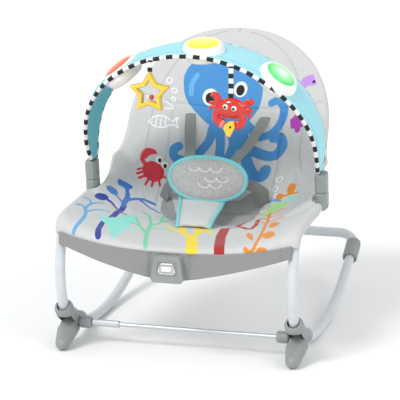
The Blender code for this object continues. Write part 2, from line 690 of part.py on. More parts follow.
def chamfered_block(name, side, low, high, cut, material):
    """An eight-sided block on the socket line with narrowed ends."""
    wide, deep = SOCKET_SIZE[0] / 2, SOCKET_SIZE[1] / 2
    shape = bmesh.new()
    rings = []
    for up, shrink in ((low, cut), (low + cut, 0.0), (high - 0.002, 0.0), (high, 0.0015)):
        a, b, c = wide - shrink, deep - shrink, 0.005
        spots = [(a, b - c), (a - c, b), (c - a, b), (-a, b - c), (-a, c - b), (c - a, -b),
                 (a - c, -b), (a, c - b)]
        rings.append([shape.verts.new(socket_point(side, across, ahead, up))
                      for across, ahead in spots])
    bridge(shape, rings)
    shape.faces.new(rings[0])
    shape.faces.new(rings[-1])
    return place(name, to_mesh(name, shape), material)


def socket_box(name, side, size, low, high, material):
    """A plain box on the socket line, between two heights."""
    shape = bmesh.new()
    rings = []
    for up in (low, high):
        rings.append([shape.verts.new(socket_point(side, across * size[0] / 2, ahead * size[1] / 2, up))
                      for across, ahead in ((1, 1), (-1, 1), (-1, -1), (1, -1))])
    bridge(shape, rings)
    shape.faces.new(rings[0])
    shape.faces.new(rings[1])
    return place(name, to_mesh(name, shape), material)


for side in (-1, 1):
    name = side_name(side)
    bracket = chamfered_block(f"{name}_toy_bar_bracket", side, -BRACKET_HEIGHT, -GAP, 0.006,
                              GREY_PLASTIC)
    seat_bore = sweep(f"{name}_bracket_bore", seat_tube_path(side)[8:], R + GAP, None)
    grown = (TONGUE[0] + GAP * 2, TONGUE[1] + GAP * 2)
    pocket = socket_box(f"{name}_bracket_pocket", side, grown, -TONGUE[2] - GAP, 0.01, None)
    combine(bracket, seat_bore, "DIFFERENCE")
    combine(bracket, pocket, "DIFFERENCE")
    plug = chamfered_block(f"{name}_toy_bar_plug", side, 0.0, PLUG_HEIGHT, 0.0015, GREY_PLASTIC)
    tongue = socket_box(f"{name}_plug_tongue", side, TONGUE, -TONGUE[2], 0.005, None)
    combine(plug, tongue, "UNION")


def arch_point(part):
    """The middle line of the band from left plug (0) to right plug (1)."""
    plug_top = socket_point(1, 0.0, 0.0, PLUG_HEIGHT + 0.0035)
    foot_share = 0.06
    if part < foot_share or part > 1 - foot_share:
        near = min(part, 1 - part) / foot_share
        x = -plug_top.x + (plug_top.x - ARCH_HALF_WIDTH) * near
        z = plug_top.z + (ARCH_SPRING_Z - plug_top.z) * near
        x = x if part < 0.5 else -x
    else:
        angle = math.pi * (part - foot_share) / (1 - 2 * foot_share)
        x = -ARCH_HALF_WIDTH * math.cos(angle)
        z = ARCH_SPRING_Z + (ARCH_TOP_Z - ARCH_SPRING_Z) * math.sin(angle)
    lean = -0.245 * (z - plug_top.z) + 0.006 * min(1.0, (z - plug_top.z) / 0.05)
    return Vector((x, plug_top.y + lean, z))


def band_half(part):
    """Half the width of the band: narrow at the plugs, wide over the top."""
    near = min(part, 1 - part)
    share = min(1.0, near / 0.30)
    return 0.0130 + 0.064 * share ** 0.75


def arch_normal(part):
    along = arch_point(min(1.0, part + 0.01)) - arch_point(max(0.0, part - 0.01))
    return Vector((-along.z, 0, along.x)).normalized()


def band_surface(u, v):
    half = band_half(v)
    across = 2 * u - 1
    crown = 0.010 * (1 - across * across) * min(1.0, min(v, 1 - v) / 0.2)
    middle = arch_point(v)
    return middle + Vector((0, half * across, 0)) + arch_normal(v) * (crown - 0.004)


band = padded("toy_bar_band", band_surface, 4, 36, BAND, TEAL_CLOTH)
PODS = {"red": (0.300, 0.012, ORANGE), "yellow": (0.500, 0.020, YELLOW),
        "green": (0.704, 0.004, GREEN)}
for name, (part, shift, lens_finish) in PODS.items():
    out = arch_normal(part)
    middle = arch_point(part) + Vector((shift, -POD_FORWARD, 0)) + out * 0.001
    pod_hole = rod(f"{name}_pod_hole", middle - out * 0.04, middle + out * 0.04,
                   POD_RADIUS + GAP * 2, None, 24)
    combine(band, pod_hole, "DIFFERENCE")
    half = POD_HEIGHT / 2
    ring_of(f"{name}_pod_housing", [(LENS_RADIUS, -half + 0.003), (LENS_RADIUS + 0.004, -half),
                                    (POD_RADIUS - 0.003, -half + 0.004), (POD_RADIUS, -0.003),
                                    (POD_RADIUS, 0.003), (POD_RADIUS - 0.003, half - 0.004),
                                    (LENS_RADIUS + 0.004, half), (LENS_RADIUS, half - 0.003)],
            middle, out, WHITE_PLASTIC, 24)
    lens = LENS_RADIUS - GAP
    turned(f"{name}_pod_lens", [(0, -half - 0.005), (lens * 0.6, -half - 0.003), (lens, -half + 0.004),
                                (lens, half - 0.004), (lens * 0.6, half + 0.004), (0, half + 0.006)],
           middle, out, lens_finish, 20)

# hanging toys, each on a ribbon from the front edge of the band
TOYS = {"star": (0.414, 0.016), "crab": (0.606, 0.055)}
STAR_POINT, STAR_INNER = 0.040, 0.0215
hangers = {}
for name, (part, length) in TOYS.items():
    top = arch_point(part) + Vector((0, -band_half(part) - BAND / 2 - 0.0015, -0.006))
    hangers[name] = (hinge_empty(f"{name}_swing_axis", top), length)
    box(f"{name}_ribbon", (0.009, 0.0016, length), (0, 0, -length / 2), STRIPE_CLOTH,
        parent=hangers[name][0])

empty, length = hangers["star"]
centre = Vector((0, 0, -length - STAR_POINT - GAP))
star_line = []
for index in range(10):
    angle = math.radians(90 + 36 * index)
    reach = STAR_POINT if index % 2 == 0 else STAR_INNER
    star_line.append((reach * math.cos(angle), centre.z + reach * math.sin(angle)))
frame = prism("star_frame", star_line, 0.013, YELLOW, "XZ", 0.0, 0.0020, empty)
inside = [(x * 0.62, centre.z + (z - centre.z) * 0.62) for x, z in star_line]
star_hole = prism("star_hole", inside, 0.03, None, "XZ", 0.0, 0.0, empty)
combine(frame, star_hole, "DIFFERENCE")
WIRE_Z = centre.z - 0.0082
rod("bead_wire", (-0.0125, 0, WIRE_Z), (0.0125, 0, WIRE_Z), 0.0010, STEEL, 8, empty)
for index, (name, colour) in enumerate((("white", WHITE_PLASTIC), ("red", RED))):
    ring_of(f"star_{name}_bead", [(0.0013, 0.0006), (0.0036, 0.0006), (0.0044, 0.0022),
                                  (0.0044, 0.0048), (0.0036, 0.0064), (0.0013, 0.0064)],
            (-0.0072 + 0.0073 * index, 0, WIRE_Z), (1, 0, 0), colour, 12, empty)

empty, length = hangers["crab"]
middle = Vector((0, 0, -length - 0.0185 - GAP))
shell = [(0, -0.011), (0.018, -0.0095), (0.0245, -0.003), (0.0245, 0.003), (0.018, 0.0095),
         (0, 0.011)]
crab = turned("crab_body", shell, (0, 0, 0), (0, -1, 0), RED, 16, empty)
crab.data.transform(Matrix.Translation(middle) @ Matrix.Diagonal((1.22, 1, 0.74, 1)))
for side in (-1, 1):
    name = side_name(side)
    claw = [Vector((side * 0.020, 0, middle.z - 0.002)), Vector((side * 0.027, 0, middle.z - 0.012)),
            Vector((side * 0.022, 0, middle.z - 0.026)), Vector((side * 0.012, 0, middle.z - 0.032))]
    legs = [Vector((side * 0.020, 0, middle.z + 0.002)), Vector((side * 0.036, 0, middle.z + 0.010))]
    combine(crab, sweep(f"{name}_claw_tool", claw, 0.0058, None, sides=8, parent=empty,
                        side_axis=(0, 1, 0)), "UNION")
    combine(crab, sweep(f"{name}_leg_tool", legs, 0.0060, None, sides=8, parent=empty,
                        side_axis=(0, 1, 0)), "UNION")
box("fish_charm", (0.016, 0.006, 0.030), (0, 0, middle.z - 0.047), YELLOW, 0.0015, empty)
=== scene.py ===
import math
import bpy
import bmesh
import numpy as np
from mathutils import Matrix, Vector, noise


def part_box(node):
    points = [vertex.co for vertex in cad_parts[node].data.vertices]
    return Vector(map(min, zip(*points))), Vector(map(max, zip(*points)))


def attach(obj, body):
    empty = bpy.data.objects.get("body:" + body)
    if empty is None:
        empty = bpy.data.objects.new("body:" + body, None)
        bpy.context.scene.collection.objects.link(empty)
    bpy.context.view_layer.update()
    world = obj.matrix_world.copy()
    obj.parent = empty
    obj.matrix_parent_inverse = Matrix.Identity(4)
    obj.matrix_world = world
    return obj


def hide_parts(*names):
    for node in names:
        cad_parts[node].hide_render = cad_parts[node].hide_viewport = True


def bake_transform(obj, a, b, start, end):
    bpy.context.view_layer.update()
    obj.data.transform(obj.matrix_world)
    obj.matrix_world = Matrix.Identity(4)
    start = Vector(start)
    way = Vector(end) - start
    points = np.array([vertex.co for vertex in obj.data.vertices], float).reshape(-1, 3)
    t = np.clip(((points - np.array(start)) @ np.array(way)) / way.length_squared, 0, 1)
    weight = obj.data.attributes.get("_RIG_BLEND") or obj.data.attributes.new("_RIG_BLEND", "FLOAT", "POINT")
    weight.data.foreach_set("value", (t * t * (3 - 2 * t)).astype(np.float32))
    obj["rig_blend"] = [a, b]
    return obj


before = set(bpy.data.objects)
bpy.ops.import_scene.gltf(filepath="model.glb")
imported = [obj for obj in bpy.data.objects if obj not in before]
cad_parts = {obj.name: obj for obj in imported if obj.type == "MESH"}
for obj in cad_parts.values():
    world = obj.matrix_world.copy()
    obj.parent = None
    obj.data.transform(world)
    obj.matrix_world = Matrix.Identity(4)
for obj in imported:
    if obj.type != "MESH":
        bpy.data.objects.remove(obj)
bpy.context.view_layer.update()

pivotShift = np.array((0.0, -0.24783, 0.0))   # from the leg base to the middle of the frame
collection = bpy.context.scene.collection


# materials
def newMaterial(name, colour, roughness=0.5, metallic=0.0):
    material = bpy.data.materials.new(name)
    material.use_nodes = True
    shader = material.node_tree.nodes["Principled BSDF"]
    shader.inputs["Base Color"].default_value = (*colour, 1.0)
    shader.inputs["Roughness"].default_value = roughness
    shader.inputs["Metallic"].default_value = metallic
    return material


def addNode(material, kind, **values):
    node = material.node_tree.nodes.new(kind)
    for key, value in values.items():
        if hasattr(node, key):
            setattr(node, key, value)
        else:
            node.inputs[key.replace("_", " ")].default_value = value
    return node


def wire(material, start, end):
    material.node_tree.links.new(start, end)


def bumpFrom(material, height, strength, distance):
    bump = addNode(material, "ShaderNodeBump")
    bump.inputs["Strength"].default_value = strength
    bump.inputs["Distance"].default_value = distance
    wire(material, height, bump.inputs["Height"])
    wire(material, bump.outputs["Normal"],
         material.node_tree.nodes["Principled BSDF"].inputs["Normal"])


def mixColour(material, factor, first, second):
    mix = addNode(material, "ShaderNodeMix", data_type="RGBA")
    if isinstance(factor, float):
        mix.inputs[0].default_value = factor
    else:
        wire(material, factor, mix.inputs[0])
    for socket, value in ((mix.inputs[6], first), (mix.inputs[7], second)):
        if isinstance(value, tuple):
            socket.default_value = (*value, 1.0)
        else:
            wire(material, value, socket)
    return mix.outputs[2]


def noiseOf(material, scale, detail=2.0, stretch=(1, 1, 1), source=None):
    place = addNode(material, "ShaderNodeMapping")
    place.inputs["Scale"].default_value = stretch
    if source is None:
        source = addNode(material, "ShaderNodeTexCoord").outputs["Object"]
    wire(material, source, place.inputs["Vector"])
    grain = addNode(material, "ShaderNodeTexNoise")
    grain.inputs["Scale"].default_value = scale
    grain.inputs["Detail"].default_value = detail
    wire(material, place.outputs[0], grain.inputs["Vector"])
    return grain.outputs["Fac"]


def rampOf(material, value, low, high):
    ramp = addNode(material, "ShaderNodeMapRange")
    ramp.inputs["From Min"].default_value = low
    ramp.inputs["From Max"].default_value = high
    wire(material, value, ramp.inputs["Value"])
    return ramp.outputs["Result"]


def baseSocket(material):
    return material.node_tree.nodes["Principled BSDF"].inputs["Base Color"]


def plastic(name, colour, roughness=0.4, grain=0.12, coat=0.0):
    material = newMaterial(name, colour, roughness)
    shader = material.node_tree.nodes["Principled BSDF"]
    shader.inputs["Coat Weight"].default_value = coat
    shade = mixColour(material, rampOf(material, noiseOf(material, 30.0), 0.3, 0.7),
                      tuple(c * 0.97 for c in colour), tuple(min(1.0, c * 1.03) for c in colour))
    wire(material, shade, baseSocket(material))
    bumpFrom(material, noiseOf(material, 1400.0), grain, 0.0003)
    return material


def cloth(name, colour, heather=0.06, roughness=0.92, weave=1500.0):
    material = newMaterial(name, colour, roughness)
    shader = material.node_tree.nodes["Principled BSDF"]
    shader.inputs["Sheen Weight"].default_value = 0.15
    streak = noiseOf(material, 700.0, 3.0, (1, 1, 0.25))
    shade = mixColour(material, rampOf(material, streak, 0.3, 0.7),
                      tuple(c * (1 - heather) for c in colour),
                      tuple(min(1.0, c * (1 + heather)) for c in colour))
    wire(material, shade, baseSocket(material))
    bumpFrom(material, noiseOf(material, weave, 2.0), 0.35, 0.0004)
    return material


def metal(name, colour, roughness):
    material = newMaterial(name, colour, roughness, 1.0)
    wire(material, rampOf(material, noiseOf(material, 250.0, 2.0, (0.1, 1, 1)), -2.0, 3.0),
         material.node_tree.nodes["Principled BSDF"].inputs["Roughness"])
    return material


# two colours in turn along a piece; its attribute "along" is in metres
def dashed(name, dark, light, length):
    material = newMaterial(name, light, 0.8)
    along = addNode(material, "ShaderNodeAttribute", attribute_name="along")
    cycle = addNode(material, "ShaderNodeMath", operation="PINGPONG")
    cycle.inputs[1].default_value = length
    wire(material, along.outputs["Fac"], cycle.inputs[0])
    edge = rampOf(material, cycle.outputs[0], length * 0.48, length * 0.52)
    wire(material, mixColour(material, edge, dark, light), baseSocket(material))
    bumpFrom(material, noiseOf(material, 1200.0), 0.4, 0.0004)
    return material


# a clear coloured lens lit from inside, brightest in its middle
def glowing(name, colour, bright, strength):
    material = newMaterial(name, colour, 0.12)
    shader = material.node_tree.nodes["Principled BSDF"]
    middle = addNode(material, "ShaderNodeAttribute", attribute_name="middle").outputs["Fac"]
    fade = rampOf(material, middle, 0.15, 0.9)
    tint = mixColour(material, fade, bright, colour)
    wire(material, tint, baseSocket(material))
    wire(material, tint, shader.inputs["Emission Color"])
    shader.inputs["Emission Strength"].default_value = strength
    shader.inputs["Coat Weight"].default_value = 0.6
    return material


whitePaint = plastic("white painted tube", (0.60, 0.635, 0.655), 0.28, 0.02, 0.3)
greyPlastic = plastic("grey plastic", (0.275, 0.300, 0.297), 0.42)
darkJoint = plastic("dark joint line", (0.10, 0.10, 0.10), 0.6)
whitePlastic = plastic("white plastic", (0.83, 0.83, 0.82), 0.25, 0.03, 0.3)
redPlastic = plastic("red plastic", (0.62, 0.022, 0.012), 0.16, 0.02, 0.5)
pinkPlastic = plastic("pink plastic", (0.75, 0.20, 0.22), 0.2, 0.02, 0.4)
blackPlastic = plastic("black plastic", (0.012, 0.011, 0.012), 0.2, 0.02, 0.4)
yellowPlastic = plastic("yellow plastic", (0.83, 0.56, 0.03), 0.25, 0.02, 0.4)
greyCloth = cloth("light grey cloth", (0.565, 0.565, 0.565))
darkCloth = cloth("mid grey cloth", (0.262, 0.262, 0.262), 0.05)
heatherCloth = cloth("heather grey cloth", (0.40, 0.40, 0.40), 0.22)
webbing = cloth("grey webbing", (0.235, 0.240, 0.238), 0.08, 0.8, 700.0)
tealCloth = cloth("light teal cloth", (0.335, 0.700, 0.780), 0.05)
tealLining = cloth("teal lining", (0.14, 0.50, 0.57), 0.08)
tealBinding = cloth("teal binding", (0.20, 0.62, 0.66), 0.08)
piping = dashed("black and white piping", (0.012, 0.012, 0.014), (0.80, 0.80, 0.80), 0.0125)
ribbonCloth = dashed("black and white ribbon", (0.012, 0.012, 0.014), (0.80, 0.80, 0.80), 0.0090)
screwMetal = metal("dull screw", (0.42, 0.43, 0.44), 0.4)
steel = metal("bright rod", (0.62, 0.65, 0.67), 0.3)
# grey for real stitches, also used as painted shade on the button's ribs
stitchAndRibShade = cloth("grey stitches and rib shade", (0.42, 0.42, 0.42), 0.1)
print("materials done")


# mesh tools
def meshFrom(name, points, faces, material, smooth=True, attributes=None):
    mesh = bpy.data.meshes.new(name)
    points = np.asarray(points, float).reshape(-1, 3)
    faces = np.asarray(faces, np.int64)
    mesh.from_pydata(points.tolist(), [], faces.tolist())
    mesh.materials.append(material)
    mesh.polygons.foreach_set("use_smooth", [smooth] * len(mesh.polygons))
    for key, values in (attributes or {}).items():
        layer = mesh.attributes.new(key, "FLOAT", "POINT")
        layer.data.foreach_set("value", np.asarray(values, np.float32).ravel())
    mesh.update()
    body = bpy.data.objects.new(name, mesh)
    collection.objects.link(body)
    return body


def gridFaces(rows, columns, wrap=False):
    index = np.arange(rows * columns).reshape(rows, columns)
    if wrap:
        index = np.concatenate([index, index[:, :1]], axis=1)
    return np.stack([index[:-1, :-1], index[:-1, 1:], index[1:, 1:], index[1:, :-1]],
                    axis=-1).reshape(-1, 4)


def gridMesh(name, points, material, wrap=False, attributes=None):
    rows, columns = points.shape[:2]
    return meshFrom(name, points, gridFaces(rows, columns, wrap), material, True, attributes)


def runLength(points):
    return np.concatenate([[0], np.cumsum(np.linalg.norm(np.diff(points, axis=0), axis=1))])


# evenly spaced points on a Catmull-Rom line; the first columns measure its length
def smoothLine(points, count, measured=3):
    points = np.asarray(points, float)
    padded = np.vstack([2 * points[0] - points[1], points, 2 * points[-1] - points[-2]])
    fine = []
    for index in range(len(points) - 1):
        a, b, c, d = padded[index:index + 4]
        for share in np.linspace(0, 1, 24, endpoint=False):
            fine.append(0.5 * (2 * b + (c - a) * share + (2 * a - 5 * b + 4 * c - d) * share ** 2
                               + (3 * b - a - 3 * c + d) * share ** 3))
    fine.append(points[-1])
    fine = np.array(fine)
    run = runLength(fine[:, :measured])
    where = np.linspace(0, run[-1], count)
    return np.stack([np.interp(where, run, fine[:, axis]) for axis in range(fine.shape[1])], axis=1)


# a round, or with two radii a flat oval, bar along a path with rounded ends
def tubeMesh(name, path, radius, material, sides=20, side=(1.0, 0.0, 0.0), ends=True):
    path = np.asarray(path, float)
    wide, thick = radius if isinstance(radius, tuple) else (radius, radius)
    tangent = np.gradient(path, axis=0)
    tangent /= np.linalg.norm(tangent, axis=1)[:, None]
    first = np.array(side, float)
    sizes = np.ones(len(path))
    if ends:
        cap = np.array((0.0, 0.45, 0.78, 0.95))
        reach = thick * 0.9
        head = [path[0] - tangent[0] * 0 + tangent[0] * reach * (share - 1) for share in cap]
        tail = [path[-1] + tangent[-1] * reach * (1 - share) for share in cap[::-1]]
        path = np.vstack([head, path, tail])
        tangent = np.vstack([np.repeat(tangent[:1], 4, 0), tangent, np.repeat(tangent[-1:], 4, 0)])
        grow = np.sqrt(np.maximum(0.0004, 1 - (1 - cap) ** 2))
        sizes = np.concatenate([grow, sizes, grow[::-1]])
    along = runLength(path)
    rings = []
    for index, point in enumerate(path):
        first = first - tangent[index] * first.dot(tangent[index])
        first /= np.linalg.norm(first)
        second = np.cross(tangent[index], first)
        angles = np.linspace(0, 2 * np.pi, sides, endpoint=False)
        rings.append(point + sizes[index] * (np.outer(np.cos(angles), first) * wide
                                             + np.outer(np.sin(angles), second) * thick))
    rings = np.array(rings)
    return gridMesh(name, rings, material, True, {"along": np.repeat(along, sides)})


# a surface of revolution from a smooth line of (radius, height) points
def spun(name, profile, centre, axis, material, steps=48, squash=(1, 1, 1), attributes=None):
    turn = Vector(axis).normalized().to_track_quat("Z", "Y").to_matrix()
    angles = np.linspace(0, 2 * np.pi, steps, endpoint=False)
    profile = np.asarray(profile, float)
    rings = np.stack([np.outer(profile[:, 0], np.cos(angles)), np.outer(profile[:, 0], np.sin(angles)),
                      np.repeat(profile[:, 1:2], steps, 1)], axis=-1) * np.array(squash)
    rings = rings @ np.array(turn).T + np.asarray(centre)
    middle = np.repeat(profile[:, 0] / profile[:, 0].max(), steps)
    return gridMesh(name, rings, material, True, {"middle": middle})


# remeshes a body and relaxes it, which rounds its edges as moulding does
def moulded(body, voxel, rounds, material):
    remesh = body.modifiers.new("remesh", "REMESH")
    remesh.mode = "VOXEL"
    remesh.voxel_size = voxel
    relax = body.modifiers.new("relax", "SMOOTH")
    relax.factor = 0.5
    relax.iterations = rounds
    baked = bpy.data.meshes.new_from_object(body.evaluated_get(bpy.context.evaluated_depsgraph_get()))
    body.modifiers.clear()
    body.data = baked
    baked.materials.clear()
    baked.materials.append(material)
    baked.polygons.foreach_set("use_smooth", [True] * len(baked.polygons))
    return body


# a moulded copy of a CAD piece: the same solid with its edges rounded
def softCopy(node, voxel=0.0009, rounds=6, material=None):
    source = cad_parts[node]
    copy = bpy.data.objects.new(node.title().replace("_", "") + "Moulded", source.data.copy())
    collection.objects.link(copy)
    return moulded(copy, voxel, rounds, material or greyPlastic)


# Geometry Nodes that put small bars along a line, or screw heads on points
def repeatTree(name, along):
    tree = bpy.data.node_groups.new(name, "GeometryNodeTree")
    face = tree.interface
    face.new_socket("Geometry", in_out="INPUT", socket_type="NodeSocketGeometry")
    for label in ("Spacing", "Length", "Radius"):
        face.new_socket(label, in_out="INPUT", socket_type="NodeSocketFloat")
    face.new_socket("Material", in_out="INPUT", socket_type="NodeSocketMaterial")
    face.new_socket("Geometry", in_out="OUTPUT", socket_type="NodeSocketGeometry")
    nodes, links = tree.nodes, tree.links
    start, end = nodes.new("NodeGroupInput"), nodes.new("NodeGroupOutput")
    place = nodes.new("GeometryNodeInstanceOnPoints")
    turn = nodes.new("FunctionNodeAlignRotationToVector")
    turn.axis = "Z"
    if along:
        curve = nodes.new("GeometryNodeMeshToCurve")
        even = nodes.new("GeometryNodeResampleCurve")
        even.mode = "LENGTH"
        tangent = nodes.new("GeometryNodeInputTangent")
        links.new(start.outputs["Geometry"], curve.inputs["Mesh"])
        links.new(curve.outputs["Curve"], even.inputs["Curve"])
        links.new(start.outputs["Spacing"], even.inputs["Length"])
        links.new(even.outputs["Curve"], place.inputs["Points"])
        links.new(tangent.outputs["Tangent"], turn.inputs["Vector"])
        sides, rings = 6, 3
    else:
        aim = nodes.new("GeometryNodeInputNamedAttribute")
        aim.data_type = "FLOAT_VECTOR"
        aim.inputs["Name"].default_value = "aim"
        links.new(start.outputs["Geometry"], place.inputs["Points"])
        links.new(aim.outputs["Attribute"], turn.inputs["Vector"])
        sides, rings = 20, 2
    bar = nodes.new("GeometryNodeMeshCylinder")
    bar.inputs["Vertices"].default_value = sides
    bar.inputs["Side Segments"].default_value = rings
    links.new(start.outputs["Radius"], bar.inputs["Radius"])
    links.new(start.outputs["Length"], bar.inputs["Depth"])
    links.new(bar.outputs["Mesh"], place.inputs["Instance"])
    links.new(turn.outputs["Rotation"], place.inputs["Rotation"])
    real = nodes.new("GeometryNodeRealizeInstances")
    paint = nodes.new("GeometryNodeSetMaterial")
    links.new(place.outputs["Instances"], real.inputs["Geometry"])
    links.new(real.outputs["Geometry"], paint.inputs["Geometry"])
    links.new(start.outputs["Material"], paint.inputs["Material"])
    links.new(paint.outputs["Geometry"], end.inputs["Geometry"])
    return tree


# runs a repeat tree on a body and keeps the result as a plain mesh
def repeated(body, tree, spacing, length, radius, material):
    layer = body.modifiers.new("repeat", "NODES")
    layer.node_group = tree
    sockets = {item.name: item.identifier for item in tree.interface.items_tree
               if item.item_type == "SOCKET" and item.in_out == "INPUT"}
    for label, value in (("Spacing", spacing), ("Length", length), ("Radius", radius),
                         ("Material", material)):
        layer[sockets[label]] = value
    baked = bpy.data.meshes.new_from_object(body.evaluated_get(bpy.context.evaluated_depsgraph_get()))
    body.modifiers.clear()
    body.data = baked
    return body


stitchTree = repeatTree("stitches along a seam", True)
screwTree = repeatTree("screw heads on points", False)


def stitchesAlong(name, runs, spacing, length, radius):
    points = np.vstack(runs)
    edges, base = [], 0
    for run in runs:
        edges += [(base + k, base + k + 1) for k in range(len(run) - 1)]
        base += len(run)
    mesh = bpy.data.meshes.new(name)
    mesh.from_pydata(points.tolist(), edges, [])
    body = bpy.data.objects.new(name, mesh)
    collection.objects.link(body)
    return repeated(body, stitchTree, spacing, length, radius, stitchAndRibShade)


# screw heads: each place is a point and the way the head faces
def screwsAt(name, places, length, radius, material):
    mesh = bpy.data.meshes.new(name)
    mesh.from_pydata([tuple(point) for point, aim in places], [], [])
    layer = mesh.attributes.new("aim", "FLOAT_VECTOR", "POINT")
    layer.data.foreach_set("vector", np.array([aim for point, aim in places], np.float32).ravel())
    body = bpy.data.objects.new(name, mesh)
    collection.objects.link(body)
    return repeated(body, screwTree, 0.0, length, radius, material)


# cuts away other closed bodies, then forgets them
def carved(body, *cutters):
    for cutter in cutters:
        cut = body.modifiers.new("cut", "BOOLEAN")
        cut.operation = "DIFFERENCE"
        cut.solver = "EXACT"
        cut.object = cutter
    baked = bpy.data.meshes.new_from_object(body.evaluated_get(bpy.context.evaluated_depsgraph_get()))
    body.modifiers.clear()
    material = body.data.materials[0]
    body.data = baked
    baked.materials.clear()
    baked.materials.append(material)
    baked.polygons.foreach_set("material_index", [0] * len(baked.polygons))
    for cutter in cutters:
        bpy.data.objects.remove(cutter)
    return body


# a flat block with its outline in (y, z), from x low to x high
def slab(name, outline, low, high):
    ring = [(low, y, z) for y, z in outline] + [(high, y, z) for y, z in outline]
    count = len(outline)
    faces = [tuple(range(count)), tuple(range(2 * count - 1, count - 1, -1))]
    faces += [(k, k + count, (k + 1) % count + count, (k + 1) % count) for k in range(count)]
    mesh = bpy.data.meshes.new(name)
    mesh.from_pydata((np.array(ring) + pivotShift).tolist(), [], faces)
    mesh.materials.append(greyPlastic)
    body = bpy.data.objects.new(name, mesh)
    collection.objects.link(body)
    tidy = bmesh.new()
    tidy.from_mesh(body.data)
    bmesh.ops.recalc_face_normals(tidy, faces=tidy.faces)
    tidy.to_mesh(body.data)
    tidy.free()
    return body


# one smooth moulded shape from balls and rounded bars
def lumps(name, blobs, voxel, rounds, material):
    points, faces = [], []
    for kind, *shape in blobs:
        if kind == "ball":
            centre, radii = shape
            piece = spun("tool", [(math.sin(a), -math.cos(a)) for a in np.linspace(0.02, math.pi - 0.02,
                    16)],
                         (0, 0, 0), (0, 0, 1), material, 24)
            here = np.array([v.co for v in piece.data.vertices]) * np.array(radii) + np.array(centre)
        else:
            path, radius = shape
            piece = tubeMesh("tool", smoothLine(np.array(path), 16), radius, material, 14, (0, 1, 0))
            here = np.array([v.co for v in piece.data.vertices])
        base = sum(len(p) for p in points)
        loops = [tuple(base + v for v in p.vertices) for p in piece.data.polygons]
        if kind == "ball":
            loops += [tuple(base + k for k in range(24))[::-1],
                      tuple(base + 15 * 24 + k for k in range(24))]
        else:
            loops += [tuple(base + k for k in range(14))[::-1],
                      tuple(base + len(here) - 14 + k for k in range(14))]
        points.append(here)
        faces += loops
        bpy.data.objects.remove(piece)
    mesh = bpy.data.meshes.new(name)
    mesh.from_pydata(np.vstack(points).tolist(), [], faces)
    mesh.materials.append(material)
    body = bpy.data.objects.new(name, mesh)
    collection.objects.link(body)
    return moulded(body, voxel, rounds, material)


def finishPiece(body, rides, slotName, *nodes):
    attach(body, rides)
    if nodes:
        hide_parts(*nodes)
    return body


def bumps(points, scale, seed=0.0):
    scale = np.array(scale)
    return np.array([noise.noise(Vector(p * scale) + Vector((seed, seed, seed)))
                     for p in np.asarray(points).reshape(-1, 3)]).reshape(np.asarray(points).shape[:-1])


# a grid moved along its own normals
def pushed(points, heights):
    across = np.gradient(points, axis=1)
    along = np.gradient(points, axis=0)
    normal = np.cross(across, along)
    size = np.linalg.norm(normal, axis=-1, keepdims=True)
    normal = normal / np.maximum(size, 1e-9)
    return points + normal * heights[..., None]


print("tools done")

# tubes: the frame seen round, not faceted
frameSizes = {"half": 0.215, "radius": 0.0095, "lowY": 0.226, "rocker": 0.5576}


def railZ(y):
    return frameSizes["radius"] + (y - frameSizes["lowY"]) ** 2 / (2 * frameSizes["rocker"])


def legY(z):
    return 0.0567 - 1.007 * z + 3.296 * z * z


for sign, side in ((-1, "left"), (1, "right")):
    x = sign * frameSizes["half"]
    ys = np.linspace(0.058, 0.529, 60)
    rail = np.stack([np.full_like(ys, x), ys, railZ(ys)], axis=1) + pivotShift
    finishPiece(tubeMesh(f"{side}RockerRail", rail, frameSizes["radius"], whitePaint, 28), "base",
                "white_paint", f"{side}_rocker_rail")
    leg = [(x, legY(z), z) for z in np.linspace(0.072, 0.198, 9)]
    top = [(x, -0.0115, 0.208), (x, -0.0035, 0.2245), (x, 0.010, 0.2365), (x, 0.030, 0.2425),
           (x, 0.090, 0.2455), (x, 0.200, 0.2500), (x - sign * 0.003, 0.219, 0.2507),
           (x - sign * 0.012, 0.236, 0.2515), (x - sign * 0.015, 0.250, 0.2520),
           (x - sign * 0.015, 0.2735, 0.2530)]
    seat = smoothLine(np.array(leg + top) + pivotShift, 120)
    finishPiece(tubeMesh(f"{side}SeatTube", seat, frameSizes["radius"], whitePaint, 28), "base",
                "white_paint", f"{side}_seat_tube")

tilt = np.array((0, 1, (0.529 - frameSizes["lowY"]) / frameSizes["rocker"]))
tilt /= np.linalg.norm(tilt)
start = np.array((-0.215, 0.529, railZ(0.529)))
cross = [start - tilt * 0.012, start - tilt * 0.004]
for angle in np.linspace(0, math.pi / 2, 14):
    cross.append(start + tilt * 0.035 * math.sin(angle) + np.array((0.035 * (1 - math.cos(angle)), 0, 0)))
cross += [cross[-1] + np.array((step, 0, 0)) for step in (0.03, 0.08, 0.14)]
mirrored = [p * np.array((-1, 1, 1)) for p in cross[::-1]]
cross = smoothLine(np.array(cross + mirrored) + pivotShift, 150)
finishPiece(tubeMesh("rearCrossTube", cross, frameSizes["radius"], whitePaint, 28), "base", "white_paint",
            "rear_cross_tube")
print("frame tubes done")

